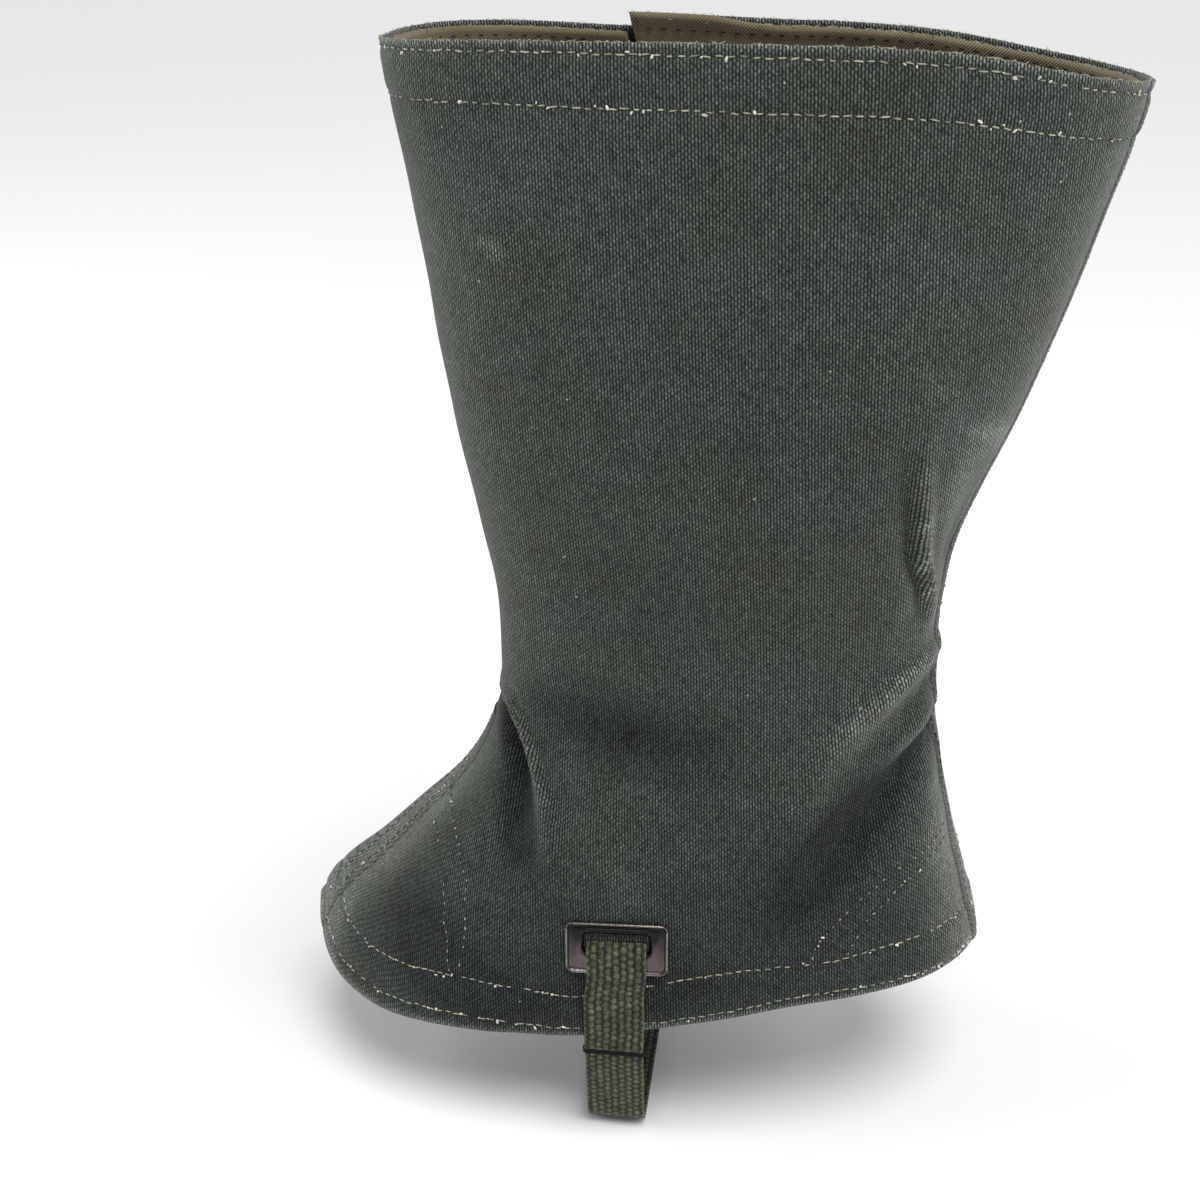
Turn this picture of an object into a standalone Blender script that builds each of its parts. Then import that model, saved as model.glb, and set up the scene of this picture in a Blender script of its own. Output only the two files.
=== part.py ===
"""Canvas legging gaiter, in its worn and hollow pose, with nothing in it.

One leg's gaiter: a big canvas panel wraps the inner side, the shin and the front of the outer side, a
smaller one closes the rear of the outer side, and a webbing strap passes under the boot.
Metres, +Z up.  X runs from the toe (-X) to the heel (+X); the inner side of the leg faces -Y.
The origin is the middle of the ankle, at its narrowest, where the leg holds the gaiter.
"""
import math
from collections import namedtuple

import bmesh
import bpy
import numpy as np
from mathutils import Matrix, Vector

MM = 0.001

# ---- driving sizes, in millimetres -------------------------------------------------------------
CANVAS = 1.2                 # thickness of the duck canvas
GAP = 0.3                    # clearance between neighbouring pieces
HEM = -126.0                 # nominal level of the bottom edge
TOP = 165.0                  # nominal level of the top edge
FADE_HEM = -35.0             # the bottom edge's rise and fall dies out at this level
FADE_TOP = 60.0              # and the top edge's at this one
SLOPE_WAY, SLOPE_LEVEL = 0.006, 1.5   # the cloth's slope is taken over these steps round and up
ROW_STEP = 9.3               # height of one row of facets

TAPE = 1.0                   # twill tape inside the top edge
TAPE_WIDTH = 20.0
TAPE_BELOW_EDGE = 1.5
SEAM_ROWS_FROM = -41.0       # the instep seam starts at this level and runs down to the hem
REAR_STRIP = (0.955, 0.9775, 1.0, -0.9775, -0.955)   # ways round of the rear seam's columns
INSTEP_LAP = (-0.06, -0.03, 0.0)                     # and of the instep seam's
TAPE_STOPS_SHORT = 0.012     # way left between the front tape's end and the rear panel's hidden edge
JOG_FROM, JOG_LENGTH = 0.05, 0.045   # ways round over which the rear panel steps in under the front one

STRAP_X = -24.5              # middle of the instep strap
STRAP_WIDTH = 18.4
STRAP = 1.5                  # webbing thickness
STRAP_BOTTOM = -169.5        # underside of the strap, below the boot's waist
STRAP_HALF_SPAN = 47.0       # where the strap turns under the sole
STRAP_MIDDLE = -3.0          # the sole's middle lies a little inward of the ankle's
STRAP_CORNER = 9.0
STRAP_GAP = 0.6              # clearance from the curved canvas
STRAP_END_BELOW_HEM = 5.0    # the folded end stops just below the hem
STRAP_SEWN_FROM = -99.0      # its other end is sewn inside the outer hem from this level down
HEM_MARGIN = 0.5             # the strap's rows beside the hem lie this far above it
STRAP_FREE_LEVEL = -151.4    # below this one it follows the sole
STRAP_TO_HEM = ((1.0, -16.0), (-0.3, -7.0), (0.2, -3.0))   # rise beside the boot: inward and up of the hem
STRAP_INSIDE_LEVELS = (-124.5, -117.0, -108.0)             # then up inside the inner side
STRAP_UNDER_BAR = 2.0        # where it turns out of the slot, under the plate's bar
STRAP_BACK_DOWN = ((-110.5, 0.9), (-116.5, 0.2), (-125.5, 0.0))   # down outside: level, more clearance
STRAP_END_OUT = 0.1

PLATE_LENGTH = 32.0          # pressed steel plate that the strap comes through
PLATE_HEIGHT = 17.0
PLATE = 1.0
PLATE_CORNER = 2.6
PLATE_LEVEL = -95.5
PLATE_TILT = math.radians(3.5)
SLOT_LENGTH = 20.4
SLOT_HEIGHT = 6.0
SLOT_CORNER = 1.2
SLOT_ABOVE_MIDDLE = 1.6
PLATE_STAND = 0.5            # the flat plate clears the curved canvas by this at its middle
CANVAS_SLOT = Vector((SLOT_LENGTH + 1.2, 12.0, SLOT_HEIGHT + 0.6))   # cut through the canvas behind it
CANVAS_SLOT_UP = 0.3

KEEPER_THREAD = 0.6          # radius of the keeper's bundle of thread
KEEPER_CLEAR = 0.4
KEEPER_CORNER = 0.8
KEEPER_BELOW_END = 2.3       # its middle, below the strap's folded end
STRAP_INWARD = 0.3           # the standing strap lies this far outside the hem's inner face there

CLOSURE_PAIRS = 8            # eyelets on the front edge, each with a hook behind it
CLOSURE_LOW = -98.0
CLOSURE_HIGH = 138.0
EYELET_OUTER = 9.0
EYELET_BORE = 4.4
EYELET_BARREL = 5.2
EYELET_FLANGE = 0.8
EYELET_ROLL = 0.4            # how far the flange's rounded top lies in from its outside
EYELET_LIP = 0.7             # and out from its bore
EYELET_CUT_DEPTH = 6.0
EYELET_FROM_EDGE = 8.5       # ahead of the closure edge
HOOK_FROM_EDGE = 17.0        # behind it
HOOK_STRIP = 0.8
HOOK_STAND = 0.2
HOOK_FOOT_HALF, HOOK_NECK_HALF, HOOK_FOOT_STATIONS = 3.4, 2.2, 3
# a hook's strip, as (behind its middle, above the canvas): foot, rise, and the part turned back over it
HOOK_ROUTE = ((3.4, 0.0), (0.0, 0.0), (-2.4, 0.0), (-3.6, 0.5), (-4.0, 1.8), (-3.6, 3.1), (-2.4, 3.7),
              (0.6, 3.7), (3.0, 3.5), (4.4, 3.9))
LAP_GAP = 0.6                # clearance where the front panel lies over the rear panel

# ---- the form, section by section --------------------------------------------------------------
# level above the ankle; front, widest and rear stations along X; half width; how square the nose and
# the heel of the section are (2 is an ellipse); how far the section's middle lies from Y = 0
Section = namedtuple("Section", "level front widest rear half nose heel middle")
SECTIONS = (
    Section(-126.0, -133.6, -60.0, 88.0, 52.0, 1.75, 2.4, -3.0),
    Section(-110.0, -124.0, -56.0, 84.4, 50.0, 1.75, 2.4, -3.0),
    Section(-95.0, -108.6, -48.0, 81.0, 47.5, 1.80, 2.4, -3.0),
    Section(-80.0, -94.6, -38.0, 77.0, 45.0, 1.85, 2.4, -2.5),
    Section(-65.0, -81.6, -24.0, 74.0, 42.0, 1.95, 2.4, -1.5),
    Section(-50.0, -72.6, -10.0, 71.0, 38.5, 2.05, 2.4, -0.5),
    Section(-35.0, -67.8, -2.0, 68.5, 35.5, 2.20, 2.4, 0.0),
    Section(-18.0, -66.6, 0.0, 66.8, 33.5, 2.30, 2.4, 0.0),
    Section(0.0, -67.0, 0.0, 65.8, 33.0, 2.40, 2.4, 0.0),
    Section(25.0, -71.0, 0.0, 68.4, 36.0, 2.50, 2.4, -1.0),
    Section(45.0, -74.6, 1.0, 74.4, 40.0, 2.50, 2.4, -2.0),
    Section(80.0, -80.2, 4.0, 86.0, 45.0, 2.50, 2.4, -3.0),
    Section(113.0, -85.4, 6.0, 95.8, 46.5, 2.60, 2.4, -3.0),
    Section(137.0, -89.8, 7.0, 101.3, 45.5, 2.60, 2.4, -3.0),
    Section(165.0, -94.8, 7.0, 107.3, 43.0, 2.60, 2.4, -3.0),
)

# how far the bottom edge stands above its nominal level, by the share of the way from shin to rear
HemRise = namedtuple("HemRise", "share rise")
HEM_LINE = (
    HemRise(0.00, 8.0), HemRise(0.025, 1.4), HemRise(0.05, -3.4), HemRise(0.10, -7.4),
    HemRise(0.15, -8.4), HemRise(0.20, -8.6), HemRise(0.26, -6.6), HemRise(0.31, -4.8),
    HemRise(0.37, -3.5), HemRise(0.43, -2.8), HemRise(0.50, 0.0), HemRise(0.58, 4.1),
    HemRise(0.645, 7.4), HemRise(0.714, 11.0), HemRise(0.78, 12.6), HemRise(0.86, 14.4),
    HemRise(0.92, 16.2), HemRise(0.96, 16.2), HemRise(1.00, 14.0),
)
# the same for the top edge: on the inner side, and on each of the two panels of the outer side
TopRise = namedtuple("TopRise", "share inner outer_front outer_rear")
TOP_LINE = (
    TopRise(0.00, 1.5, 1.5, 1.5), TopRise(0.12, 2.5, 2.8, 2.8), TopRise(0.20, 3.4, 2.5, 4.5),
    TopRise(0.34, 4.0, 0.8, 4.8), TopRise(0.50, 4.0, 0.0, 3.4), TopRise(0.70, 2.5, 0.0, 1.0),
    TopRise(0.85, -3.5, -3.5, -4.0), TopRise(0.93, -6.0, -6.0, -6.0), TopRise(1.00, -6.5, -6.5, -6.5),
)

# the closure on the outer side: the front panel's edge and, beneath it, the rear panel's inner edge,
# as shares of the way round at the bottom and at the top
CLOSURE_EDGE = (0.66, 0.53)
FLY_EDGE = (0.58, 0.34)

# the folds die out towards the shin and the rear seam, over these shares of the way round
FOLD_FADE_SHIN = 0.12
FOLD_FADE_REAR = 0.10
# the largest folds: side (-1 inner, +1 outer), both ends as (x, level), height (+) or depth (-), half width
Fold = namedtuple("Fold", "side x0 z0 x1 z1 height spread")
FOLDS = (
    Fold(-1, -64.0, -24.0, -44.0, -72.0, -3.6, 9.0),      # crease at the front of the ankle
    Fold(-1, -52.0, -30.0, 10.0, -34.0, -2.6, 15.0),      # hollow under the ankle
    Fold(-1, 58.0, -12.0, 14.0, -62.0, 3.4, 10.0),        # ridge that runs down from the heel tendon
    Fold(-1, 62.0, -45.0, 20.0, -88.0, -3.4, 11.0),       # trough under it
    Fold(-1, 60.0, 36.0, 56.0, 4.0, -2.4, 8.0),           # pinch at the rear, above the ankle
    Fold(1, -60.0, -22.0, -34.0, -60.0, -3.2, 9.0),
    Fold(1, 56.0, -16.0, 18.0, -56.0, 3.0, 10.0),
    Fold(1, 60.0, -48.0, 30.0, -80.0, -2.6, 11.0),
)


def clamp(value, low=0.0, high=1.0):
    return max(low, min(high, value))


def soft_step(value):
    value = clamp(value)
    return value * value * (3.0 - 2.0 * value)


def along(table, at, field):
    """Smooth value of one column at a station of the first column (cubic, with level ends)."""
    keys = [row[0] for row in table]
    values = [getattr(row, field) for row in table]
    at = clamp(at, keys[0], keys[-1])
    i = max(k for k in range(len(keys) - 1) if keys[k] <= at)
    step = keys[i + 1] - keys[i]

    def slope(k):
        if k in (0, len(keys) - 1):
            near = k + 1 if k == 0 else k - 1
            return (values[near] - values[k]) / (keys[near] - keys[k])
        return (values[k + 1] - values[k - 1]) / (keys[k + 1] - keys[k - 1])

    t = (at - keys[i]) / step
    h00, h10 = (1 + 2 * t) * (1 - t) ** 2, t * (1 - t) ** 2
    h01, h11 = t * t * (3 - 2 * t), t * t * (t - 1)
    return h00 * values[i] + h10 * step * slope(i) + h01 * values[i + 1] + h11 * step * slope(i + 1)


RINGS = {}


def half_ring(level):
    """Plan of one side of a section, front to rear, as shares of its length with x and half width."""
    key = round(level, 3)
    if key not in RINGS:
        s = Section(key, *(along(SECTIONS, key, f) for f in Section._fields[1:]))
        turn = np.linspace(0.0, math.pi, 241)
        c, w = np.cos(turn), np.sin(turn)
        front = c > 0
        power = np.where(front, 2.0 / s.nose, 2.0 / s.heel)
        reach = np.where(front, s.widest - s.front, s.rear - s.widest)
        x = s.widest - np.sign(c) * reach * np.abs(c) ** power
        y = s.half * np.abs(w) ** power
        y[0] = y[-1] = 0.0
        run = np.concatenate(([0.0], np.cumsum(np.hypot(np.diff(x), np.diff(y)))))
        RINGS[key] = (run / run[-1], x, y, s.middle, run[-1])
    return RINGS[key]


def fade(level, start, end):
    return clamp((level - start) / (end - start)) ** 1.5


def bare_point(way, level, panel="outer_front"):
    """Point of the cloth's inner face: way is -1 at the rear seam, 0 at the shin, +1 at the rear again."""
    share = min(abs(way), 1.0)
    shares, xs, ys, middle, _ = half_ring(clamp(level, HEM, TOP))
    side = 1.0 if way > 0 else -1.0
    x = np.interp(share, shares, xs)
    y = middle + side * np.interp(share, shares, ys)
    z = level + along(HEM_LINE, share, "rise") * fade(level, FADE_HEM, HEM)
    z += along(TOP_LINE, share, panel if way > 0 else "inner") * fade(level, FADE_TOP, TOP)
    return Vector((x, y, z))


def fold_height(point, side):
    total = 0.0
    for fold in FOLDS:
        if fold.side != side:
            continue
        run = Vector((fold.x1 - fold.x0, fold.z1 - fold.z0))
        rel = Vector((point.x - fold.x0, point.z - fold.z0))
        t = rel.dot(run) / run.length_squared
        off = abs(rel.x * run.y - rel.y * run.x) / run.length
        ends = soft_step((t + 0.25) / 0.5) * soft_step((1.25 - t) / 0.5)
        total += fold.height * ends * math.exp(-(off / fold.spread) ** 2)
    return total


def cloth_point(way, level, out=0.0, panel="outer_front"):
    """Point of the draped cloth, out millimetres outside its inner face."""
    side = 1 if way > 0 else -1
    if abs(way) + SLOPE_WAY > 1.0:
        over_seam = bare_point(-side * (2.0 - abs(way) - SLOPE_WAY), level, panel)
        across = (over_seam - bare_point(side * (abs(way) - SLOPE_WAY), level, panel)) * side
    else:
        across = bare_point(way + SLOPE_WAY, level, panel) - bare_point(way - SLOPE_WAY, level, panel)
    up_level = clamp(level, HEM + SLOPE_LEVEL, TOP - SLOPE_LEVEL)
    up = bare_point(way, up_level + SLOPE_LEVEL, panel) - bare_point(way, up_level - SLOPE_LEVEL, panel)
    normal = up.cross(across).normalized()
    point = bare_point(way, level, panel)
    calm = soft_step(abs(way) / FOLD_FADE_SHIN) * soft_step((1.0 - abs(way)) / FOLD_FADE_REAR)
    return point + normal * (out + fold_height(point, side) * calm)


# ---- rows and columns of facets, shared by all that lies on the cloth ---------------------------
def spread(start, end, count):
    return [start + (end - start) * k / count for k in range(count + 1)]


TAPE_TOP = TOP - TAPE_BELOW_EDGE
TAPE_BOTTOM = TAPE_TOP - TAPE_WIDTH
LOWER_ROWS = spread(HEM, SEAM_ROWS_FROM, round((SEAM_ROWS_FROM - HEM) / ROW_STEP))
MIDDLE_ROWS = spread(SEAM_ROWS_FROM, TAPE_BOTTOM, round((TAPE_BOTTOM - SEAM_ROWS_FROM) / ROW_STEP))
UPPER_ROWS = spread(TAPE_BOTTOM, TAPE_TOP, 3)
ROWS = LOWER_ROWS + MIDDLE_ROWS[1:] + UPPER_ROWS[1:] + [TOP]

NEAR_STEPS = 20
NEAR_WAYS = [-1.0, *REAR_STRIP[3:], *spread(REAR_STRIP[-1], INSTEP_LAP[0], NEAR_STEPS)[1:], *INSTEP_LAP[1:]]
FAR_STEPS = 12
REAR_STEPS = 13


def edge_way(edge, level):
    return edge[0] + (edge[1] - edge[0]) * (level - HEM) / (TOP - HEM)


def front_ways(level):
    """Columns of the front panel at a level: near side, shin, then on to the closure edge."""
    rest = spread(0.0, edge_way(CLOSURE_EDGE, level), FAR_STEPS + 1)[1:]
    return NEAR_WAYS + rest


def rear_ways(level):
    """Columns of the rear panel: from its hidden inner edge back to the rear seam."""
    return [*spread(edge_way(FLY_EDGE, level), REAR_STRIP[0], REAR_STEPS), *REAR_STRIP[1:3]]


def seam_pull(way, level):
    """The panels stop short of the rear seam line by half a gap on each side."""
    length = half_ring(clamp(level, HEM, TOP))[4]
    stop = 1.0 - 0.5 * GAP / length
    return math.copysign(min(abs(way), stop), way)


def tuck(way, level):
    """How far the rear panel lies inside the front panel: nothing behind the closure edge."""
    edge = edge_way(CLOSURE_EDGE, level)
    return (CANVAS + LAP_GAP) * soft_step((edge + JOG_FROM - way) / JOG_LENGTH)


# ---- Blender helpers ---------------------------------------------------------------------------
def clear_scene():
    for old in list(bpy.data.objects):
        bpy.data.objects.remove(old, do_unlink=True)


def new_collection(name):
    collection = bpy.data.collections.new(name)
    bpy.context.scene.collection.children.link(collection)
    return collection


def finish(name, color, roughness, metallic=0.0):
    material = bpy.data.materials.new(name)
    material.use_nodes = True
    shader = material.node_tree.nodes["Principled BSDF"]
    shader.inputs["Base Color"].default_value = (*color, 1.0)
    shader.inputs["Roughness"].default_value = roughness
    shader.inputs["Metallic"].default_value = metallic
    return material


def add_object(name, mesh, material, collection):
    ob = bpy.data.objects.new(name, mesh)
    ob.data.materials.append(material)
    collection.objects.link(ob)
    return ob


def mesh_from(bm, name):
    mesh = bpy.data.meshes.new(name)
    bm.to_mesh(mesh)
    bm.free()
    return mesh


def sheet(name, columns, rows, place, thickness, material, collection):
    """An open grid whose points place(column, row) sets, given its thickness outwards by Solidify.

    The columns run clockwise seen from above, so they are dealt out from the grid's right-hand side.
    """
    bm = bmesh.new()
    bmesh.ops.create_grid(bm, x_segments=columns - 1, y_segments=rows - 1, size=0.5)
    for vert in bm.verts:
        column = round((0.5 - vert.co.x) * (columns - 1))
        row = round((vert.co.y + 0.5) * (rows - 1))
        vert.co = place(column, row) * MM
    ob = add_object(name, mesh_from(bm, name), material, collection)
    wall = ob.modifiers.new("wall", "SOLIDIFY")
    wall.thickness = thickness * MM
    wall.offset = 1.0
    return ob


def cut(ob, cutter):
    boolean = ob.modifiers.new("cut", "BOOLEAN")
    boolean.object = cutter
    boolean.operation = "DIFFERENCE"


# ---- cloth pieces ------------------------------------------------------------------------------
def front_panel(material, collection):
    def place(column, row):
        level = ROWS[row]
        return cloth_point(seam_pull(front_ways(level)[column], level), level)
    return sheet("front_panel", len(front_ways(HEM)), len(ROWS), place, CANVAS, material, collection)


def rear_panel(material, collection):
    def place(column, row):
        level = ROWS[row]
        way = seam_pull(rear_ways(level)[column], level)
        return cloth_point(way, level, -tuck(way, level), "outer_rear")
    return sheet("rear_panel", len(rear_ways(HEM)), len(ROWS), place, CANVAS, material, collection)


def rear_seam(material, collection):
    """The lapped seam down the back: a strip over the line where the panels meet."""
    def place(column, row):
        return cloth_point(REAR_STRIP[column], ROWS[row], CANVAS + GAP, "outer_rear")
    return sheet("rear_seam", len(REAR_STRIP), len(ROWS), place, CANVAS, material, collection)


def instep_seam(material, collection):
    """The lap of the dart over the instep, from the ankle down to the hem."""
    def place(column, row):
        return cloth_point(INSTEP_LAP[column], LOWER_ROWS[row], CANVAS + GAP)
    return sheet("instep_seam", len(INSTEP_LAP), len(LOWER_ROWS), place, CANVAS, material, collection)


def front_facing(material, collection):
    """Twill tape inside the top edge of the front panel, as far as the rear panel's inner edge."""
    def ways(level):
        stop = edge_way(FLY_EDGE, level) - TAPE_STOPS_SHORT
        whole = sum(1 for way in front_ways(TOP) if way < edge_way(FLY_EDGE, TOP) - 2.5 * TAPE_STOPS_SHORT)
        return front_ways(level)[1:whole] + [stop]

    def place(column, row):
        level = UPPER_ROWS[row]
        return cloth_point(ways(level)[column], level, -GAP - TAPE)
    return sheet("front_top_facing", len(ways(TOP)), len(UPPER_ROWS), place, TAPE, material, collection)


def rear_facing(material, collection):
    """The same tape inside the top edge of the rear panel."""
    def place(column, row):
        level = UPPER_ROWS[row]
        way = rear_ways(level)[column]
        return cloth_point(way, level, -tuck(way, level) - GAP - TAPE, "outer_rear")
    columns = len(rear_ways(TOP)) - 1
    return sheet("rear_top_facing", columns, len(UPPER_ROWS), place, TAPE, material, collection)


# ---- strap, plate and keeper -------------------------------------------------------------------
def near_way_at(x, level):
    """Way round, on the inner side, of a point with this x."""
    low, high = -0.9, -0.1
    for _ in range(30):
        middle = 0.5 * (low + high)
        if bare_point(middle, level).x > x:
            low = middle
        else:
            high = middle
    return 0.5 * (low + high)


def plate_frame():
    """Centre, length direction, outward direction and rise of the plate, which lies along the cloth."""
    way = near_way_at(STRAP_X, PLATE_LEVEL)
    centre = cloth_point(way, PLATE_LEVEL, CANVAS)
    below = cloth_point(way, PLATE_LEVEL - 0.4 * PLATE_HEIGHT, CANVAS)
    above = cloth_point(way, PLATE_LEVEL + 0.4 * PLATE_HEIGHT, CANVAS)
    fore = cloth_point(near_way_at(STRAP_X - 0.4 * PLATE_LENGTH, PLATE_LEVEL), PLATE_LEVEL, CANVAS)
    aft = cloth_point(near_way_at(STRAP_X + 0.4 * PLATE_LENGTH, PLATE_LEVEL), PLATE_LEVEL, CANVAS)
    length = (aft - fore).normalized()
    out = length.cross(above - below).normalized()
    rise = out.cross(length).normalized()
    turned = Matrix.Rotation(-PLATE_TILT, 3, out)
    return centre, turned @ length, out, turned @ rise


def plate_matrix(frame, lift, up=0.0):
    """World matrix whose X is the plate's length, Y its inward and Z its upward direction."""
    centre, length, out, rise = frame
    place = (centre + out * lift + rise * up) * MM
    turn = Matrix((length, -out, rise)).transposed().to_4x4()
    return Matrix.Translation(place) @ turn


def strap_route(frame):
    """Middle line of the strap, as functions of the distance along its width.

    From inside the outer hem it goes under the boot, up inside the inner side, out through the plate's
    slot and down over the plate, and its folded end stops just below the hem.
    """
    half = 0.5 * STRAP
    centre, length, out, rise = frame
    bar = centre + rise * (SLOT_ABOVE_MIDDLE - 0.5 * SLOT_HEIGHT)

    def wall(level, offset):
        return lambda dx: cloth_point(near_way_at(STRAP_X + dx, level), level, offset)

    def far_wall(level):
        return lambda dx: cloth_point(-near_way_at(STRAP_X + dx, level), level, inside)

    def at_plate(outward, upward):
        return lambda dx: bar + length * dx + out * (outward - CANVAS) + rise * upward

    def free(y, z):
        return lambda dx: Vector((STRAP_X + dx, y, z))

    def turn(side, t):
        y = STRAP_MIDDLE + side * (STRAP_HALF_SPAN - STRAP_CORNER * (1 - math.cos(t)))
        return free(y, bottom + STRAP_CORNER * (1 - math.sin(t)))

    hem = cloth_point(near_way_at(STRAP_X, HEM), HEM)
    inside = -STRAP_GAP - half
    over_cloth = CANVAS + STRAP_GAP + half
    over_plate = CANVAS + PLATE_STAND + PLATE + GAP + half
    loop = 0.5 * (over_plate - inside)
    bottom = STRAP_BOTTOM + half
    quarter = [math.radians(90.0 * k / 4) for k in range(5)]
    route = [far_wall(level) for level in spread(STRAP_SEWN_FROM, HEM + HEM_MARGIN, 3)]
    route += [free(STRAP_MIDDLE + STRAP_HALF_SPAN, STRAP_FREE_LEVEL)]
    route += [turn(1, t) for t in quarter] + [turn(-1, t) for t in reversed(quarter)]
    route += [free(hem.y + inward, hem.z + up) for inward, up in STRAP_TO_HEM]
    route += [wall(level, inside) for level in STRAP_INSIDE_LEVELS]
    route += [at_plate(inside, -STRAP_UNDER_BAR)]
    route += [at_plate(inside + loop * (1 - math.cos(t)), loop * math.sin(t))
              for t in (math.radians(180.0 * k / 8) for k in range(9))]
    route += [at_plate(over_plate, -0.5 * PLATE_HEIGHT)]
    route += [wall(level, over_cloth + more) for level, more in STRAP_BACK_DOWN]
    return route + [free(hem.y - over_cloth - STRAP_END_OUT, hem.z - STRAP_END_BELOW_HEM)]


def instep_strap(material, collection, frame):
    route = strap_route(frame)

    def place(column, row):
        return route[row](STRAP_WIDTH * (0.5 - column / 2))
    ob = sheet("instep_strap", 3, len(route), place, STRAP, material, collection)
    ob.modifiers["wall"].offset = 0.0
    ob.modifiers["wall"].use_even_offset = True
    return ob


def slot_plate(material, collection, frame):
    """A pressed frame: a flat outline with a slot, rolled a little at its edges."""
    curve = bpy.data.curves.new("slot_plate", "CURVE")
    curve.dimensions = "2D"
    curve.fill_mode = "BOTH"
    curve.extrude = 0.5 * PLATE * MM
    for length, height, corner, up in ((PLATE_LENGTH, PLATE_HEIGHT, PLATE_CORNER, 0.0),
                                       (SLOT_LENGTH, SLOT_HEIGHT, SLOT_CORNER, SLOT_ABOVE_MIDDLE)):
        outline = curve.splines.new("POLY")
        outline.use_cyclic_u = True
        points = []
        for quarter in range(4):
            sx, sz = ((1, 1), (-1, 1), (-1, -1), (1, -1))[quarter]
            for k in range(5):
                turn = math.radians(90.0 * quarter + 22.5 * k)
                points.append((sx * (0.5 * length - corner) + corner * math.cos(turn),
                               sz * (0.5 * height - corner) + corner * math.sin(turn) + up))
        outline.points.add(len(points) - 1)
        for point, (x, z) in zip(outline.points, points):
            point.co = (x * MM, z * MM, 0.0, 1.0)
    guide = bpy.data.objects.new("slot_plate_outline", curve)
    collection.objects.link(guide)
    bpy.context.view_layer.update()
    graph = bpy.context.evaluated_depsgraph_get()
    mesh = bpy.data.meshes.new_from_object(guide.evaluated_get(graph))
    bpy.data.objects.remove(guide, do_unlink=True)
    bm = bmesh.new()
    bm.from_mesh(mesh)
    bmesh.ops.remove_doubles(bm, verts=bm.verts, dist=1e-6)
    stand_up = Matrix.Rotation(math.radians(90.0), 4, "X")
    bmesh.ops.transform(bm, matrix=stand_up, verts=bm.verts)
    bm.to_mesh(mesh)
    bm.free()
    mesh.name = "slot_plate"
    mesh.materials.clear()
    ob = add_object("slot_plate", mesh, material, collection)
    ob.matrix_world = plate_matrix(frame, PLATE_STAND + 0.5 * PLATE)
    return ob


def strap_keeper(material, collection):
    """Waxed thread wound round the strap just below its folded end."""
    hem = cloth_point(near_way_at(STRAP_X, HEM), HEM)
    standing = hem.y - STRAP_INWARD
    level = hem.z - STRAP_END_BELOW_HEM - KEEPER_BELOW_END
    curve = bpy.data.curves.new("strap_keeper", "CURVE")
    curve.dimensions = "3D"
    curve.bevel_depth = KEEPER_THREAD * MM
    curve.bevel_resolution = 2
    loop = curve.splines.new("POLY")
    loop.use_cyclic_u = True
    clear = KEEPER_CLEAR + KEEPER_THREAD
    reach = Vector((0.5 * STRAP_WIDTH + clear, 0.5 * STRAP + clear))
    points = []
    for quarter, (sx, sy) in enumerate(((1, 1), (-1, 1), (-1, -1), (1, -1))):
        for k in range(3):
            turn = math.radians(90.0 * quarter + 45.0 * k)
            points.append((STRAP_X + sx * (reach.x - KEEPER_CORNER) + KEEPER_CORNER * math.cos(turn),
                           standing + sy * (reach.y - KEEPER_CORNER) + KEEPER_CORNER * math.sin(turn)))
    loop.points.add(len(points) - 1)
    for point, (x, y) in zip(loop.points, points):
        point.co = (x * MM, y * MM, level * MM, 1.0)
    ob = bpy.data.objects.new("strap_keeper", curve)
    ob.data.materials.append(material)
    collection.objects.link(ob)
    return ob


# ---- closure on the outer side -----------------------------------------------------------------
def closure_levels():
    return spread(CLOSURE_LOW, CLOSURE_HIGH, CLOSURE_PAIRS - 1)


def closure_matrix(level, from_edge, out, panel):
    """World matrix at a distance behind (+) or ahead (-) of the closure edge.

    Its X points towards the rear along the cloth and its Z outwards.
    """
    length = half_ring(level)[4]
    way = edge_way(CLOSURE_EDGE, level) + from_edge / length
    if panel == "outer_rear":
        out -= tuck(way, level)
    point = cloth_point(way, level, out, panel)
    rearward = (cloth_point(way + 0.01, level, out, panel) - point).normalized()
    above = cloth_point(way, level + 2.0, out, panel) - point
    normal = above.cross(rearward).normalized()
    turn = Matrix((rearward, normal.cross(rearward), normal)).transposed().to_4x4()
    return Matrix.Translation(point * MM) @ turn


def turned_ring(name, profile, steps=12):
    """A ring turned about Z from a closed profile of (radius, height)."""
    bm = bmesh.new()
    verts = [bm.verts.new((radius * MM, 0.0, height * MM)) for radius, height in profile]
    edges = [bm.edges.new((verts[k - 1], verts[k])) for k in range(len(verts))]
    bmesh.ops.spin(bm, geom=verts + edges, cent=(0, 0, 0), axis=(0, 0, 1), angle=math.tau,
                   steps=steps, use_merge=True)
    bmesh.ops.remove_doubles(bm, verts=bm.verts, dist=1e-6)
    bmesh.ops.recalc_face_normals(bm, faces=bm.faces)
    return mesh_from(bm, name)


def eyelets(material, collection):
    bore, barrel, outer = 0.5 * EYELET_BORE, 0.5 * EYELET_BARREL, 0.5 * EYELET_OUTER
    seat = CANVAS + GAP
    profile = ((bore, 0.0), (barrel, 0.0), (barrel, seat), (outer, seat),
               (outer - EYELET_ROLL, seat + 0.7 * EYELET_FLANGE),
               (bore + EYELET_LIP, seat + EYELET_FLANGE), (bore, seat + 0.5 * EYELET_FLANGE))
    mesh = turned_ring("eyelet", profile)
    mesh.materials.append(material)
    for k, level in enumerate(closure_levels()):
        ob = bpy.data.objects.new(f"eyelet_{k + 1}", mesh)
        ob.matrix_world = closure_matrix(level, -EYELET_FROM_EDGE, 0.0, "outer_front")
        collection.objects.link(ob)


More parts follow.
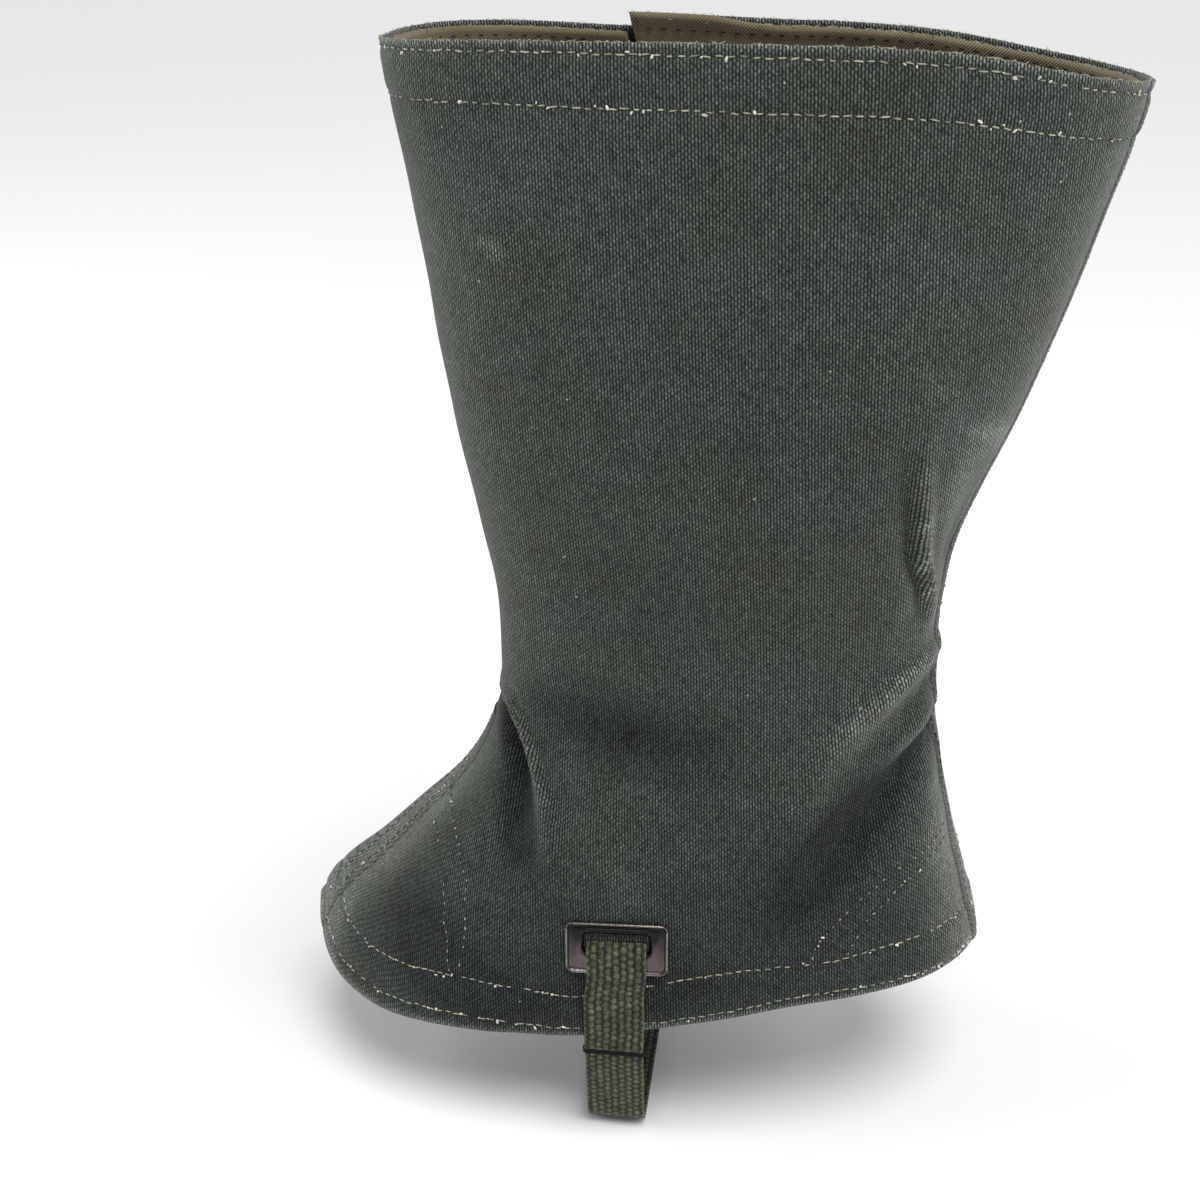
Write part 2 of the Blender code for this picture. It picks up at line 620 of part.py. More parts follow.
def hook_mesh():
    """A lacing hook: a foot on the canvas, whose strip rises at its front and turns back over it."""
    bm = bmesh.new()
    bmesh.ops.create_grid(bm, x_segments=len(HOOK_ROUTE) - 1, y_segments=1, size=0.5)
    for vert in bm.verts:
        station = round((vert.co.x + 0.5) * (len(HOOK_ROUTE) - 1))
        x, z = HOOK_ROUTE[station]
        half = HOOK_FOOT_HALF if station < HOOK_FOOT_STATIONS else HOOK_NECK_HALF
        vert.co = Vector((x, math.copysign(half, vert.co.y), z)) * MM
    return mesh_from(bm, "hook")


def hooks(material, collection):
    mesh = hook_mesh()
    mesh.materials.append(material)
    for k, level in enumerate(closure_levels()):
        ob = bpy.data.objects.new(f"hook_{k + 1}", mesh)
        lift = CANVAS + GAP + 0.5 * HOOK_STRIP + HOOK_STAND
        ob.matrix_world = closure_matrix(level, HOOK_FROM_EDGE, lift, "outer_rear")
        collection.objects.link(ob)
        wall = ob.modifiers.new("wall", "SOLIDIFY")
        wall.thickness = HOOK_STRIP * MM
        wall.offset = 0.0


def front_panel_cutter(frame, collection):
    """The hole behind the plate's slot and the round holes of the eyelets, in one cutter."""
    bm = bmesh.new()
    slot = bmesh.ops.create_cube(bm, size=1.0)["verts"]
    bmesh.ops.scale(bm, vec=CANVAS_SLOT * MM, verts=slot)
    bmesh.ops.transform(bm, matrix=plate_matrix(frame, 0.0, SLOT_ABOVE_MIDDLE + CANVAS_SLOT_UP), verts=slot)
    radius = (0.5 * EYELET_BARREL + GAP) * MM
    for level in closure_levels():
        hole = bmesh.ops.create_cone(bm, cap_ends=True, segments=12, radius1=radius, radius2=radius,
                                     depth=EYELET_CUT_DEPTH * MM)["verts"]
        matrix = closure_matrix(level, -EYELET_FROM_EDGE, 0.5 * CANVAS, "outer_front")
        bmesh.ops.transform(bm, matrix=matrix, verts=hole)
    ob = bpy.data.objects.new("front_panel_cutter", mesh_from(bm, "front_panel_cutter"))
    ob.hide_render = True
    ob.display_type = "WIRE"
    collection.objects.link(ob)
    return ob


def build():
    clear_scene()
    parts = new_collection("canvas_legging_gaiter")
    cutters = new_collection("cutters")
    canvas = finish("canvas", (0.075, 0.088, 0.072), 0.95)
    twill = finish("twill_tape", (0.19, 0.135, 0.085), 0.9)
    webbing = finish("webbing", (0.16, 0.19, 0.10), 0.95)
    steel = finish("blackened_steel", (0.16, 0.145, 0.13), 0.4, 1.0)
    thread = finish("waxed_thread", (0.02, 0.02, 0.02), 0.6)
    frame = plate_frame()
    panel = front_panel(canvas, parts)
    cut(panel, front_panel_cutter(frame, cutters))
    rear_panel(canvas, parts)
    rear_seam(canvas, parts)
    instep_seam(canvas, parts)
    front_facing(twill, parts)
    rear_facing(twill, parts)
    slot_plate(steel, parts, frame)
    instep_strap(webbing, parts, frame)
    strap_keeper(thread, parts)
    eyelets(steel, parts)
    hooks(steel, parts)


build()
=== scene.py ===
import math

import bmesh
import bpy
import numpy as np
from mathutils import Matrix, Vector


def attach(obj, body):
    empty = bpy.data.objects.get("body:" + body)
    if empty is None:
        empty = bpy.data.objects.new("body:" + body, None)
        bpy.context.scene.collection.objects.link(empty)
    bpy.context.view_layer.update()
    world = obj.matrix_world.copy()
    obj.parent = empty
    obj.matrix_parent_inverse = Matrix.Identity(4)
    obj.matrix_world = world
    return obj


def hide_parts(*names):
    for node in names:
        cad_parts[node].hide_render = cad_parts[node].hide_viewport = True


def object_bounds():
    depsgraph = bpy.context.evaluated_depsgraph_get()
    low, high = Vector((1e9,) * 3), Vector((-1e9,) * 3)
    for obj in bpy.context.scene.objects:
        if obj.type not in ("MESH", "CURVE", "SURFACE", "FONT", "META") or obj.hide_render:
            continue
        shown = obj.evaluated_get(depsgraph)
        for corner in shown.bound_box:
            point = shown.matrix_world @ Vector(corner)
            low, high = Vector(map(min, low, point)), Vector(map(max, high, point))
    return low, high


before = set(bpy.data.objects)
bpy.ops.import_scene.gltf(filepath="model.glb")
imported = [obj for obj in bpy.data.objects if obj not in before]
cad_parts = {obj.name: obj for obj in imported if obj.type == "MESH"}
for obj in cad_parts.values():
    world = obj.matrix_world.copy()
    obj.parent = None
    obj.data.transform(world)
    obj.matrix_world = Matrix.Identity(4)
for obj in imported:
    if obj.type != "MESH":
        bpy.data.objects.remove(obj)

cad_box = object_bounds()

# ---- The view ----
# A canvas legging gaiter stands in its worn shape on a plain pale floor that reaches to just under its
# strap.  It is seen from its inner side and from above, in soft light: a broad sun overhead, a pale room
# all round and a wide lamp at either side.
MM = 0.001
FLOOR_LEVEL = cad_box[0][2] - 0.0004
CAMERA_PLACE = (0.026, -0.4575, 0.208)
CAMERA_DOWN, CAMERA_TURN, CAMERA_LENS = 0.427, 0.136, 48.3
FLOOR_COLOR = (0.90, 0.90, 0.90, 1.0)

scene = bpy.context.scene
scene.view_settings.view_transform = "Standard"
lens = bpy.data.cameras.new("view")
lens.lens = CAMERA_LENS
lens.sensor_width = 36.0
camera = bpy.data.objects.new("view", lens)
camera.location = CAMERA_PLACE
camera.rotation_euler = (0.5 * math.pi - CAMERA_DOWN, 0.0, CAMERA_TURN)
scene.collection.objects.link(camera)
scene.camera = camera

ROOM_LIGHT, ROOM_WALL = 0.30, 0.81     # what the room gives as light, and how bright its walls look
world = bpy.data.worlds.new("studio")
world.use_nodes = True
room = world.node_tree.nodes["Background"]
room.inputs["Color"].default_value = (0.97, 0.985, 1.0, 1.0)
seen = world.node_tree.nodes.new("ShaderNodeLightPath")
strength = world.node_tree.nodes.new("ShaderNodeMapRange")
strength.inputs["To Min"].default_value = ROOM_LIGHT
strength.inputs["To Max"].default_value = ROOM_WALL
world.node_tree.links.new(seen.outputs["Is Camera Ray"], strength.inputs["Value"])
world.node_tree.links.new(strength.outputs["Result"], room.inputs["Strength"])
scene.world = world


def lamp(name, place, aim, width, power):
    """A square lamp of soft light that faces a point."""
    light = bpy.data.lights.new(name, "AREA")
    light.size = width
    light.energy = power
    ob = bpy.data.objects.new(name, light)
    ob.location = place
    ob.rotation_euler = (Vector(aim) - Vector(place)).to_track_quat("-Z", "Y").to_euler()
    scene.collection.objects.link(ob)


lamp("left_side", (-1.5, -0.10, 0.75), (0.0, 0.0, 0.05), 1.0, 13.0)
lamp("right_side", (1.5, -0.20, 0.80), (0.0, 0.0, 0.05), 1.0, 12.0)
sky = bpy.data.lights.new("overhead", "SUN")
sky.energy = 2.1
sky.angle = math.radians(34.0)
overhead = bpy.data.objects.new("overhead", sky)
overhead.rotation_euler = Vector((0.22, -0.30, 0.93)).to_track_quat("Z", "Y").to_euler()
scene.collection.objects.link(overhead)

def fill(tree, made, inputs):
    """Sets a node's inputs to plain values or links them to other nodes' sockets, and returns the node."""
    for name, value in inputs.items():
        if isinstance(value, bpy.types.NodeSocket):
            tree.links.new(value, made.inputs[name])
        else:
            made.inputs[name].default_value = value
    return made


def new_finish(name, inputs):
    """A material whose shader has these plain values; returns it with its nodes and its shader."""
    material = bpy.data.materials.new(name)
    material.use_nodes = True
    tree = material.node_tree
    return material, tree, fill(tree, tree.nodes["Principled BSDF"], inputs)


def new_object(name, mesh, material):
    mesh.materials.append(material)
    ob = bpy.data.objects.new(name, mesh)
    scene.collection.objects.link(ob)
    return ob


def add_piece(name, bm, material, wall=None, offset=1.0):
    """Makes the object of one piece; wall gives a cloth its thickness in millimetres."""
    mesh = bpy.data.meshes.new(name)
    bm.to_mesh(mesh)
    bm.free()
    ob = new_object(name, mesh, material)
    if wall:
        thick = ob.modifiers.new("wall", "SOLIDIFY")
        thick.thickness = wall * MM
        thick.offset = offset
    return ob


bm = bmesh.new()
bmesh.ops.create_grid(bm, x_segments=1, y_segments=1, size=9.0)
bmesh.ops.translate(bm, verts=bm.verts, vec=(0.0, 0.0, FLOOR_LEVEL))
floor_finish, _, _ = new_finish("floor", {"Base Color": FLOOR_COLOR, "Roughness": 0.9})
add_piece("floor", bm, floor_finish)

# ---- Front panel ----
# The large piece of olive duck canvas that covers the inner side, the shin and the front of the outer
# side.  It is cut flat, hemmed at the bottom, and creased where the ankle bends.
CANVAS, LAP_GAP = 1.2, 0.6        # thickness of the duck, and clearance between the panels where they lap
HEM, TOP = -126.0, 165.0          # nominal levels of its edges
FADE_HEM, FADE_TOP = -35.0, 60.0  # the edges' rise and fall dies out at these levels

# level; front, widest and rear stations; half width; squareness of nose and heel; middle
SECTIONS = np.array((
    (-126, -133.6, -60, 88, 52, 1.75, 2.4, -3),
    (-110, -124, -56, 84.4, 50, 1.75, 2.4, -3),
    (-95, -108.6, -48, 81, 47.5, 1.8, 2.4, -3),
    (-80, -94.6, -38, 77, 45, 1.85, 2.4, -2.5),
    (-65, -81.6, -24, 74, 42, 1.95, 2.4, -1.5),
    (-50, -72.6, -10, 71, 38.5, 2.05, 2.4, -0.5),
    (-35, -67.8, -2, 68.5, 35.5, 2.2, 2.4, 0),
    (-18, -66.6, 0, 66.8, 33.5, 2.3, 2.4, 0),
    (0, -67, 0, 65.8, 33, 2.4, 2.4, 0),
    (25, -71, 0, 68.4, 36, 2.5, 2.4, -1),
    (45, -74.6, 1, 74.4, 40, 2.5, 2.4, -2),
    (80, -80.2, 4, 86, 45, 2.5, 2.4, -3),
    (113, -85.4, 6, 95.8, 46.5, 2.6, 2.4, -3),
    (137, -89.8, 7, 101.3, 45.5, 2.6, 2.4, -3),
    (165, -94.8, 7, 107.3, 43, 2.6, 2.4, -3),
))
# share of the way from shin to rear, and how far the hem stands above its nominal level there
HEM_LINE = np.array((
    (0, 8), (0.025, 1.4), (0.05, -3.4), (0.1, -7.4), (0.15, -8.4), (0.2, -8.6), (0.26, -6.6),
    (0.31, -4.8), (0.37, -3.5), (0.43, -2.8), (0.5, 0), (0.58, 4.1), (0.645, 7.4), (0.714, 11),
    (0.78, 12.6), (0.86, 14.4), (0.92, 16.2), (0.96, 16.2), (1, 14),
))
# the same for the top edge, on the inner side and on the outer side's front and rear panels
TOP_LINE = np.array((
    (0, 1.5, 1.5, 1.5), (0.12, 2.5, 2.8, 2.8), (0.2, 3.4, 2.5, 4.5), (0.34, 4, 0.8, 4.8),
    (0.5, 4, 0, 3.4), (0.7, 2.5, 0, 1), (0.85, -3.5, -3.5, -4), (0.93, -6, -6, -6),
    (1, -6.5, -6.5, -6.5),
))
CLOSURE_EDGE = (0.66, 0.53)      # the outer edge's share of the way round, at the hem and at the top
FLY_EDGE = (0.58, 0.34)          # and that of the rear panel's hidden edge

# creases as (way round, level, height, half width), from end to end
CREASES = (
    # sharp crease over the front of the ankle: a ridge with a trough ahead of it
    ((-0.02, -29, 0.4, 1.8), (-0.095, -31.5, 2, 1.8), (-0.137, -36, 2.6, 1.8), (-0.175, -42.5, 2.8, 1.9),
     (-0.208, -49.5, 2.6, 2.1), (-0.24, -55.5, 2.2, 2.6), (-0.28, -63.5, 1.8, 4), (-0.33, -75, 1, 5),
     (-0.37, -84, 0, 6)),
    ((0.03, -32.5, 0, 3), (-0.03, -35.5, -1.8, 3), (-0.092, -37.5, -3.8, 3.4), (-0.132, -42.5, -5, 3.8),
     (-0.163, -49, -5, 4.2), (-0.194, -57, -4, 5), (-0.225, -66, -2.8, 6.2), (-0.28, -79, 0, 8)),
    # broad hollow under the ankle
    ((-0.12, -24, 0, 8), (-0.22, -28, -2.2, 11), (-0.36, -31, -3, 13), (-0.5, -33, -1.8, 13),
     (-0.6, -33, 0, 12)),
    ((-0.3, -48, 0, 8), (-0.36, -62, 1.6, 11), (-0.42, -76, 1.4, 11), (-0.46, -88, 0, 10)),
    # pinch down the rear above the ankle
    ((-0.725, 74, 0, 6), (-0.755, 60, -0.9, 4), (-0.79, 44, -1.5, 3.4), (-0.828, 29, -2, 3),
     (-0.866, 18, -1.7, 2.8), (-0.878, 8, -0.9, 3.3), (-0.87, 0, 0, 4)),
    ((-0.755, 74, 0, 4.5), (-0.785, 60, 1.2, 3), (-0.818, 44, 2, 2.3), (-0.854, 29, 2.6, 2),
     (-0.89, 18, 2.4, 1.9), (-0.918, 8, 1.3, 2.4), (-0.93, 0, 0, 4)),
    ((-0.89, 62, 0, 7), (-0.915, 44, -1.2, 5.5), (-0.935, 28, -1.4, 4.5), (-0.96, 14, 0, 4)),
    # ridge that runs down and forward from the heel tendon, and the trough under it
    ((-0.995, -8, 1, 2.4), (-0.925, -9, 2.4, 2.6), (-0.87, -11.5, 3.2, 3), (-0.82, -17, 3.6, 3.8),
     (-0.775, -22.5, 3.6, 4.8), (-0.73, -29.5, 3.4, 6), (-0.69, -39, 2.8, 7.5), (-0.65, -52, 2, 9),
     (-0.62, -66, 0, 10)),
    ((-0.97, -26, 0.4, 3), (-0.905, -29, 1.8, 3.4), (-0.85, -33, 1.4, 4), (-0.8, -39, 0, 4)),
    ((-0.985, -17, 0, 3), (-0.93, -18.5, -2, 4), (-0.87, -23, -1.8, 4.5), (-0.82, -29, 0, 5)),
    ((-0.985, -32, -0.6, 4), (-0.935, -36, -3.2, 4.6), (-0.875, -42, -5.2, 6), (-0.817, -51, -6, 7.4),
     (-0.765, -61, -5.6, 8.4), (-0.725, -74, -4.2, 9), (-0.683, -88, -2, 9), (-0.66, -100, 0, 8)),
    ((-0.965, -58, 0, 8), (-0.9, -68, 1.4, 9), (-0.84, -80, 1.2, 9), (-0.8, -92, 0, 9)),
    # small pulls on the calf and above the plate
    ((-0.3, 40, 0, 12), (-0.36, 18, -0.9, 13), (-0.43, 0, -0.7, 13), (-0.48, -16, 0, 12)),
    ((-0.72, 140, 0, 14), (-0.7, 104, 0.9, 15), (-0.72, 70, 0.7, 13), (-0.74, 44, 0, 10)),
    ((-0.18, 128, 0, 9), (-0.21, 112, 0.8, 9), (-0.25, 92, 0, 9)),
    ((-0.36, -72, 0, 5), (-0.4, -84, 0.9, 6), (-0.44, -92, 0, 6)),
    # the outer side's own creases
    ((0.02, -31, 0.4, 2.8), (0.09, -34, 1.8, 3.6), (0.145, -41, 2.2, 4.2), (0.19, -50, 1.8, 5),
     (0.24, -62, 0.8, 6), (0.28, -73, 0, 7)),
    ((0.06, -40, 0, 4), (0.11, -47, -2.4, 5), (0.15, -57, -2.8, 6), (0.2, -70, -1.2, 7),
     (0.23, -82, 0, 8)),
    ((0.18, -22, 0, 9), (0.3, -27, -2.2, 12), (0.45, -31, -2, 12), (0.56, -32, 0, 10)),
    ((0.985, -12, 1, 3.4), (0.9, -15, 2.6, 4.5), (0.82, -23, 2.8, 6), (0.76, -34, 2, 7.5),
     (0.72, -48, 0, 9)),
    ((0.975, -38, -0.8, 4), (0.9, -45, -3, 6), (0.83, -56, -3.4, 8), (0.78, -70, -2, 9),
     (0.75, -84, 0, 9)),
    ((0.8, 58, 0, 6), (0.85, 34, -2, 5.5), (0.89, 16, -1.8, 5), (0.89, 2, 0, 5)),
)
# stitched rows along the hem and the top, as (share, level)
HEM_ROW_LOW = np.array(((0, -122.6), (0.1, -121.9), (0.28, -121.4), (0.45, -123.6), (0.6, -123.6),
                        (0.72, -122.4), (0.8, -123), (0.9, -124), (1, -124.4)))
HEM_ROW_HIGH = np.array(((0, -111), (0.08, -111.8), (0.13, -111.7), (0.19, -110.5), (0.28, -109.4),
                         (0.35, -110.3), (0.45, -112.3), (0.565, -109), (0.62, -108.4), (0.73, -109.7),
                         (0.78, -108.7), (0.82, -107.2), (0.9, -107.6), (1, -109)))
TOP_ROW_HIGH = np.array(((0, 163), (0.5, 162.2), (1, 161.7)))
TOP_ROW_LOW = np.array(((0, 151.2), (0.5, 150), (1, 149.6)))


def cubic(t, step, starts, ends, slopes, end_slopes):
    """Values at share t of steps that start and end with these values and slopes."""
    return ((1 + 2 * t) * (1 - t) ** 2 * starts + t * (1 - t) ** 2 * step * slopes
            + t * t * (3 - 2 * t) * ends + t * t * (t - 1) * step * end_slopes)


def along(keys, values, at):
    """Smooth value between keys, as a cubic whose slopes are those of the neighbouring chords."""
    at = np.clip(at, keys[0], keys[-1])
    slopes = np.empty(len(keys))
    slopes[1:-1] = (values[2:] - values[:-2]) / (keys[2:] - keys[:-2])
    slopes[0] = (values[1] - values[0]) / (keys[1] - keys[0])
    slopes[-1] = (values[-1] - values[-2]) / (keys[-1] - keys[-2])
    i = np.clip(np.searchsorted(keys, at, side="right") - 1, 0, len(keys) - 2)
    step = keys[i + 1] - keys[i]
    return cubic((at - keys[i]) / step, step, values[i], values[i + 1], slopes[i], slopes[i + 1])


def soft_step(value):
    value = np.clip(value, 0.0, 1.0)
    return value * value * (3.0 - 2.0 * value)


RING_LEVELS = np.linspace(HEM, TOP, 292)
RING_SHARES = np.linspace(0.0, 1.0, 481)
RING_TURN = np.linspace(0.0, math.pi, 721)
ring_x, ring_y, ring_length, ring_middle = [], [], [], []
for level in RING_LEVELS:
    front, widest, rear, half, nose, heel, middle = (
        along(SECTIONS[:, 0], SECTIONS[:, k], level) for k in range(1, 8))
    c, w = np.cos(RING_TURN), np.sin(RING_TURN)
    power = np.where(c > 0, 2.0 / nose, 2.0 / heel)
    x = widest - np.sign(c) * np.where(c > 0, widest - front, rear - widest) * np.abs(c) ** power
    y = half * np.abs(w) ** power
    y[0] = y[-1] = 0.0
    run = np.concatenate(([0.0], np.cumsum(np.hypot(np.diff(x), np.diff(y)))))
    ring_x.append(np.interp(RING_SHARES, run / run[-1], x))
    ring_y.append(np.interp(RING_SHARES, run / run[-1], y))
    ring_length.append(run[-1])
    ring_middle.append(middle)
ring_x, ring_y, ring_length, ring_middle = map(np.array, (ring_x, ring_y, ring_length, ring_middle))


def from_rings(table, share, level):
    """A value between the rings, for arrays of shares and levels."""
    row = (np.clip(level, HEM, TOP) - HEM) / (TOP - HEM) * (len(RING_LEVELS) - 1)
    column = np.clip(share, 0.0, 1.0) * (len(RING_SHARES) - 1)
    r = np.minimum(row.astype(int), len(RING_LEVELS) - 2)
    k = np.minimum(column.astype(int), len(RING_SHARES) - 2)
    a, b = row - r, column - k
    return ((1 - a) * ((1 - b) * table[r, k] + b * table[r, k + 1])
            + a * ((1 - b) * table[r + 1, k] + b * table[r + 1, k + 1]))


def length_at(level):
    return np.interp(level, RING_LEVELS, ring_length)


def bare(way, level, panel="outer_front"):
    """Points of the uncreased inner face: way is -1 at the rear seam, 0 at the shin, +1 at the rear."""
    way, level = np.broadcast_arrays(np.asarray(way, float), np.asarray(level, float))
    way = (way + 1.0) % 2.0 - 1.0
    share = np.abs(way)
    inner, front, rear = (along(TOP_LINE[:, 0], TOP_LINE[:, k], share) for k in (1, 2, 3))
    rise = np.where(way > 0, front if panel == "outer_front" else rear, inner)
    z = level + along(HEM_LINE[:, 0], HEM_LINE[:, 1], share) * np.clip(
        (level - FADE_HEM) / (HEM - FADE_HEM), 0, 1) ** 1.5
    z = z + rise * np.clip((level - FADE_TOP) / (TOP - FADE_TOP), 0, 1) ** 1.5
    y = np.interp(level, RING_LEVELS, ring_middle) + np.where(way > 0, 1.0, -1.0) * from_rings(
        ring_y, share, level)
    return np.stack((from_rings(ring_x, share, level), y, z), axis=-1)


def outward(way, level, panel="outer_front"):
    """Unit directions that point out of the uncreased cloth."""
    step, rise = 0.008, 2.0
    across = bare(way + step, level, panel) - bare(way - step, level, panel)
    calm = np.clip(np.asarray(level, float), HEM + rise, TOP - rise)
    up = bare(way, calm + rise, panel) - bare(way, calm - rise, panel)
    normal = np.cross(up, across)
    return normal / np.linalg.norm(normal, axis=-1, keepdims=True)


crease_segments = []
for crease in CREASES:
    knots = np.array(crease)
    places = bare(knots[:, 0], knots[:, 1])
    crease_segments.append(list(zip(places, places[1:], knots, knots[1:])))


def crease_height(points):
    """How far the creases lift (+) or sink (-) the cloth at points of the uncreased form."""
    total = np.zeros(points.shape[:-1])
    for segments in crease_segments:
        nearest = np.full(total.shape, 1e9)
        height = np.zeros(total.shape)
        for start, end, first, last in segments:
            run = end - start
            t = np.clip(((points - start) @ run) / (run @ run), 0.0, 1.0)
            off = np.linalg.norm(points - start - t[..., None] * run, axis=-1)
            lift = first[2] + (last[2] - first[2]) * t
            wide = first[3] + (last[3] - first[3]) * t
            here = off < nearest
            height = np.where(here, lift * np.exp(-(off / wide) ** 2), height)
            nearest = np.where(here, off, nearest)
        total += height
    return total


def row_level(row, way):
    return along(row[:, 0], row[:, 1], np.abs((way + 1.0) % 2.0 - 1.0))


BAND_PUFF, BAND_DIP, BAND_EASE = 0.45, 0.30, 3.0


def band_height(way, level):
    """The hem and the top are two cloths thick: they puff between their stitched rows and dip at them."""
    total = np.zeros(np.broadcast(way, level).shape)
    for low, high in ((HEM_ROW_LOW, HEM_ROW_HIGH), (TOP_ROW_LOW, TOP_ROW_HIGH)):
        below, above = row_level(low, way), row_level(high, way)
        total += BAND_PUFF * soft_step((level - below) / BAND_EASE) * soft_step((above - level) / BAND_EASE)
        total -= BAND_DIP * (np.exp(-(level - below) ** 2) + np.exp(-(level - above) ** 2))
    return total


def slackness(points):
    """Slow, shallow waves of cloth that hangs in no one's hands."""
    x, y, z = points[..., 0], points[..., 1], points[..., 2]
    return (0.45 * np.sin(x / 17.0 + z / 31.0 + 0.6) * np.sin(z / 23.0 - x / 47.0)
            + 0.22 * np.sin(x / 7.9 - z / 12.3 + y / 19.0) * np.sin(z / 9.7 + x / 26.0 + 1.3))


def cloth(way, level, out=0.0, panel="outer_front"):
    """Points of the finished cloth, out millimetres outside its inner face, and its outward directions."""
    points = bare(way, level, panel)
    normal = outward(way, level, panel)
    lift = out + crease_height(points) + band_height(way, level) + slackness(points)
    return points + normal * np.asarray(lift)[..., None], normal


def edge_way(edge, level):
    return edge[0] + (edge[1] - edge[0]) * (level - HEM) / (TOP - HEM)


def way_at(x, level):
    """Way round, on the inner side, of the points with these x at one level."""
    ring = int(np.rint(np.clip(level, HEM, TOP) - HEM))
    return -np.interp(np.atleast_1d(x), ring_x[ring], RING_SHARES)


def weave_map(way, level, points):
    """Where each point lies in the flat cloth, in metres: along the weft, and along the warp."""
    lean = 6.0 + 14.0 * (TOP - level) / (TOP - HEM)    # x of the warp thread that the map starts from
    start = np.array([-way_at(x, at) for (x,), (at,) in zip(lean, level)])
    u = (way + start) * length_at(level)
    across = np.gradient(points, axis=1)
    across /= np.maximum(np.linalg.norm(across, axis=-1, keepdims=True), 1e-6)
    climb = np.diff(points, axis=0)
    climb = climb - np.sum(climb * across[:-1], axis=-1, keepdims=True) * across[:-1]
    v = np.concatenate((np.zeros((1, points.shape[1])), np.cumsum(np.linalg.norm(climb, axis=-1), axis=0)))
    v -= v[np.argmin(np.abs(level[:, 0]))]
    return u * MM, v * MM


def cloth_mesh(points, flat, wear_and_light, walls=None):
    """A smooth grid of cloth from rows of points: its flat-cloth map, its wear with painted light and shade,
    its share of full wall.
    """
    rows, columns = points.shape[:2]
    bm = bmesh.new()
    bmesh.ops.create_grid(bm, x_segments=columns - 1, y_segments=rows - 1, size=0.5)
    worn_and_light = bm.verts.layers.float.new("wear_and_light")
    deform = bm.verts.layers.deform.verify()
    place = {}
    for vert in bm.verts:
        k = round((0.5 - vert.co.x) * (columns - 1))
        r = round((vert.co.y + 0.5) * (rows - 1))
        place[vert] = (r, k)
        vert.co = points[r, k] * MM
        vert[worn_and_light] = wear_and_light[r, k]
        if walls is not None:
            vert[deform][0] = walls[r, k]
    uv = bm.loops.layers.uv.new("flat_cloth")
    for face in bm.faces:
        face.smooth = True
        for loop in face.loops:
            r, k = place[loop.vert]
            loop[uv].uv = (flat[0][r, k], flat[1][r, k])
    return bm


def node(tree, kind, inputs=None, **settings):
    made = tree.nodes.new(kind)
    for name, value in settings.items():
        setattr(made, name, value)
    return fill(tree, made, inputs or {})


def calc(tree, operation, a, b=0.0, c=0.0, clamp=False):
    return node(tree, "ShaderNodeMath", {0: a, 1: b, 2: c}, operation=operation, use_clamp=clamp).outputs[0]


def times(tree, a, b, clamp=False):
    return calc(tree, "MULTIPLY", a, b, clamp=clamp)


def scaled(tree, vector, factor):
    return node(tree, "ShaderNodeVectorMath", {0: vector, 3: factor}, operation="SCALE").outputs[0]


def parts_of(tree, vector):
    return node(tree, "ShaderNodeSeparateXYZ", {0: vector}).outputs


def blend(tree, factor, a, b, kind="MIX"):
    return node(tree, "ShaderNodeMix", {0: factor, 6: a, 7: b}, data_type="RGBA", blend_type=kind).outputs[2]


def remap(tree, value, low, high, to_low=0.0, to_high=1.0):
    return node(tree, "ShaderNodeMapRange", {"Value": value, "From Min": low, "From Max": high,
                                            "To Min": to_low, "To Max": to_high}).outputs[0]


def noise(tree, vector, scale, detail=2.0, roughness=0.5):
    return node(tree, "ShaderNodeTexNoise", {"Vector": vector, "Scale": scale, "Detail": detail,
                                            "Roughness": roughness}).outputs["Fac"]


def bump(tree, height, strength, distance, **below):
    return node(tree, "ShaderNodeBump", {"Height": height, "Strength": strength, "Distance": distance,
                                         **below}).outputs[0]


def place_on(tree):
    return node(tree, "ShaderNodeTexCoord").outputs["Object"]


def effect_group(name, inputs, outputs):
    """A node group of numbers with named sockets (an input without a default is a vector), and its ends."""
    group = bpy.data.node_groups.new(name, "ShaderNodeTree")
    for socket, value in inputs.items():
        kind = "NodeSocketVector" if value is None else "NodeSocketFloat"
        made = group.interface.new_socket(name=socket, in_out="INPUT", socket_type=kind)
        if value is not None:
            made.default_value = value
    for socket in outputs:
        group.interface.new_socket(name=socket, in_out="OUTPUT", socket_type="NodeSocketFloat")
    return group, group.nodes.new("NodeGroupInput").outputs, group.nodes.new("NodeGroupOutput")


def use_effect(tree, group, inputs):
    return node(tree, "ShaderNodeGroup", inputs, node_tree=group).outputs


# plain weave: crowns of thread with dark gaps between them, and threads that differ along their length
CROSSING_RISE = 0.23              # how far the crossings stand out of their rows
THREAD_RUN = 2.6                  # a thread keeps its tone over this many crossings
weave, weave_in, weave_out = effect_group("plain_weave", {
    "Flat Cloth": None, "Warp Pitch": 0.86, "Weft Pitch": 0.73, "Wander": 0.12, "Column": 0.27,
}, ("Crown", "Thread Tone"))
wander = noise(weave, scaled(weave, weave_in["Flat Cloth"], 260.0), 1.0)
shift = times(weave, calc(weave, "SUBTRACT", wander, 0.5), weave_in["Wander"])
flat = parts_of(weave, weave_in["Flat Cloth"])
warps, wefts = (
    calc(weave, "ADD", calc(weave, "DIVIDE", times(weave, flat[k], 1000.0), weave_in[pitch]), shift)
    for k, pitch in ((0, "Warp Pitch"), (1, "Weft Pitch")))
checker = times(weave, calc(weave, "COSINE", times(weave, warps, math.pi)),
                calc(weave, "COSINE", times(weave, wefts, math.pi)))
columns = calc(weave, "COSINE", times(weave, warps, math.tau))
crowns = calc(weave, "ADD", times(weave, columns, weave_in["Column"]), times(weave, checker, CROSSING_RISE))
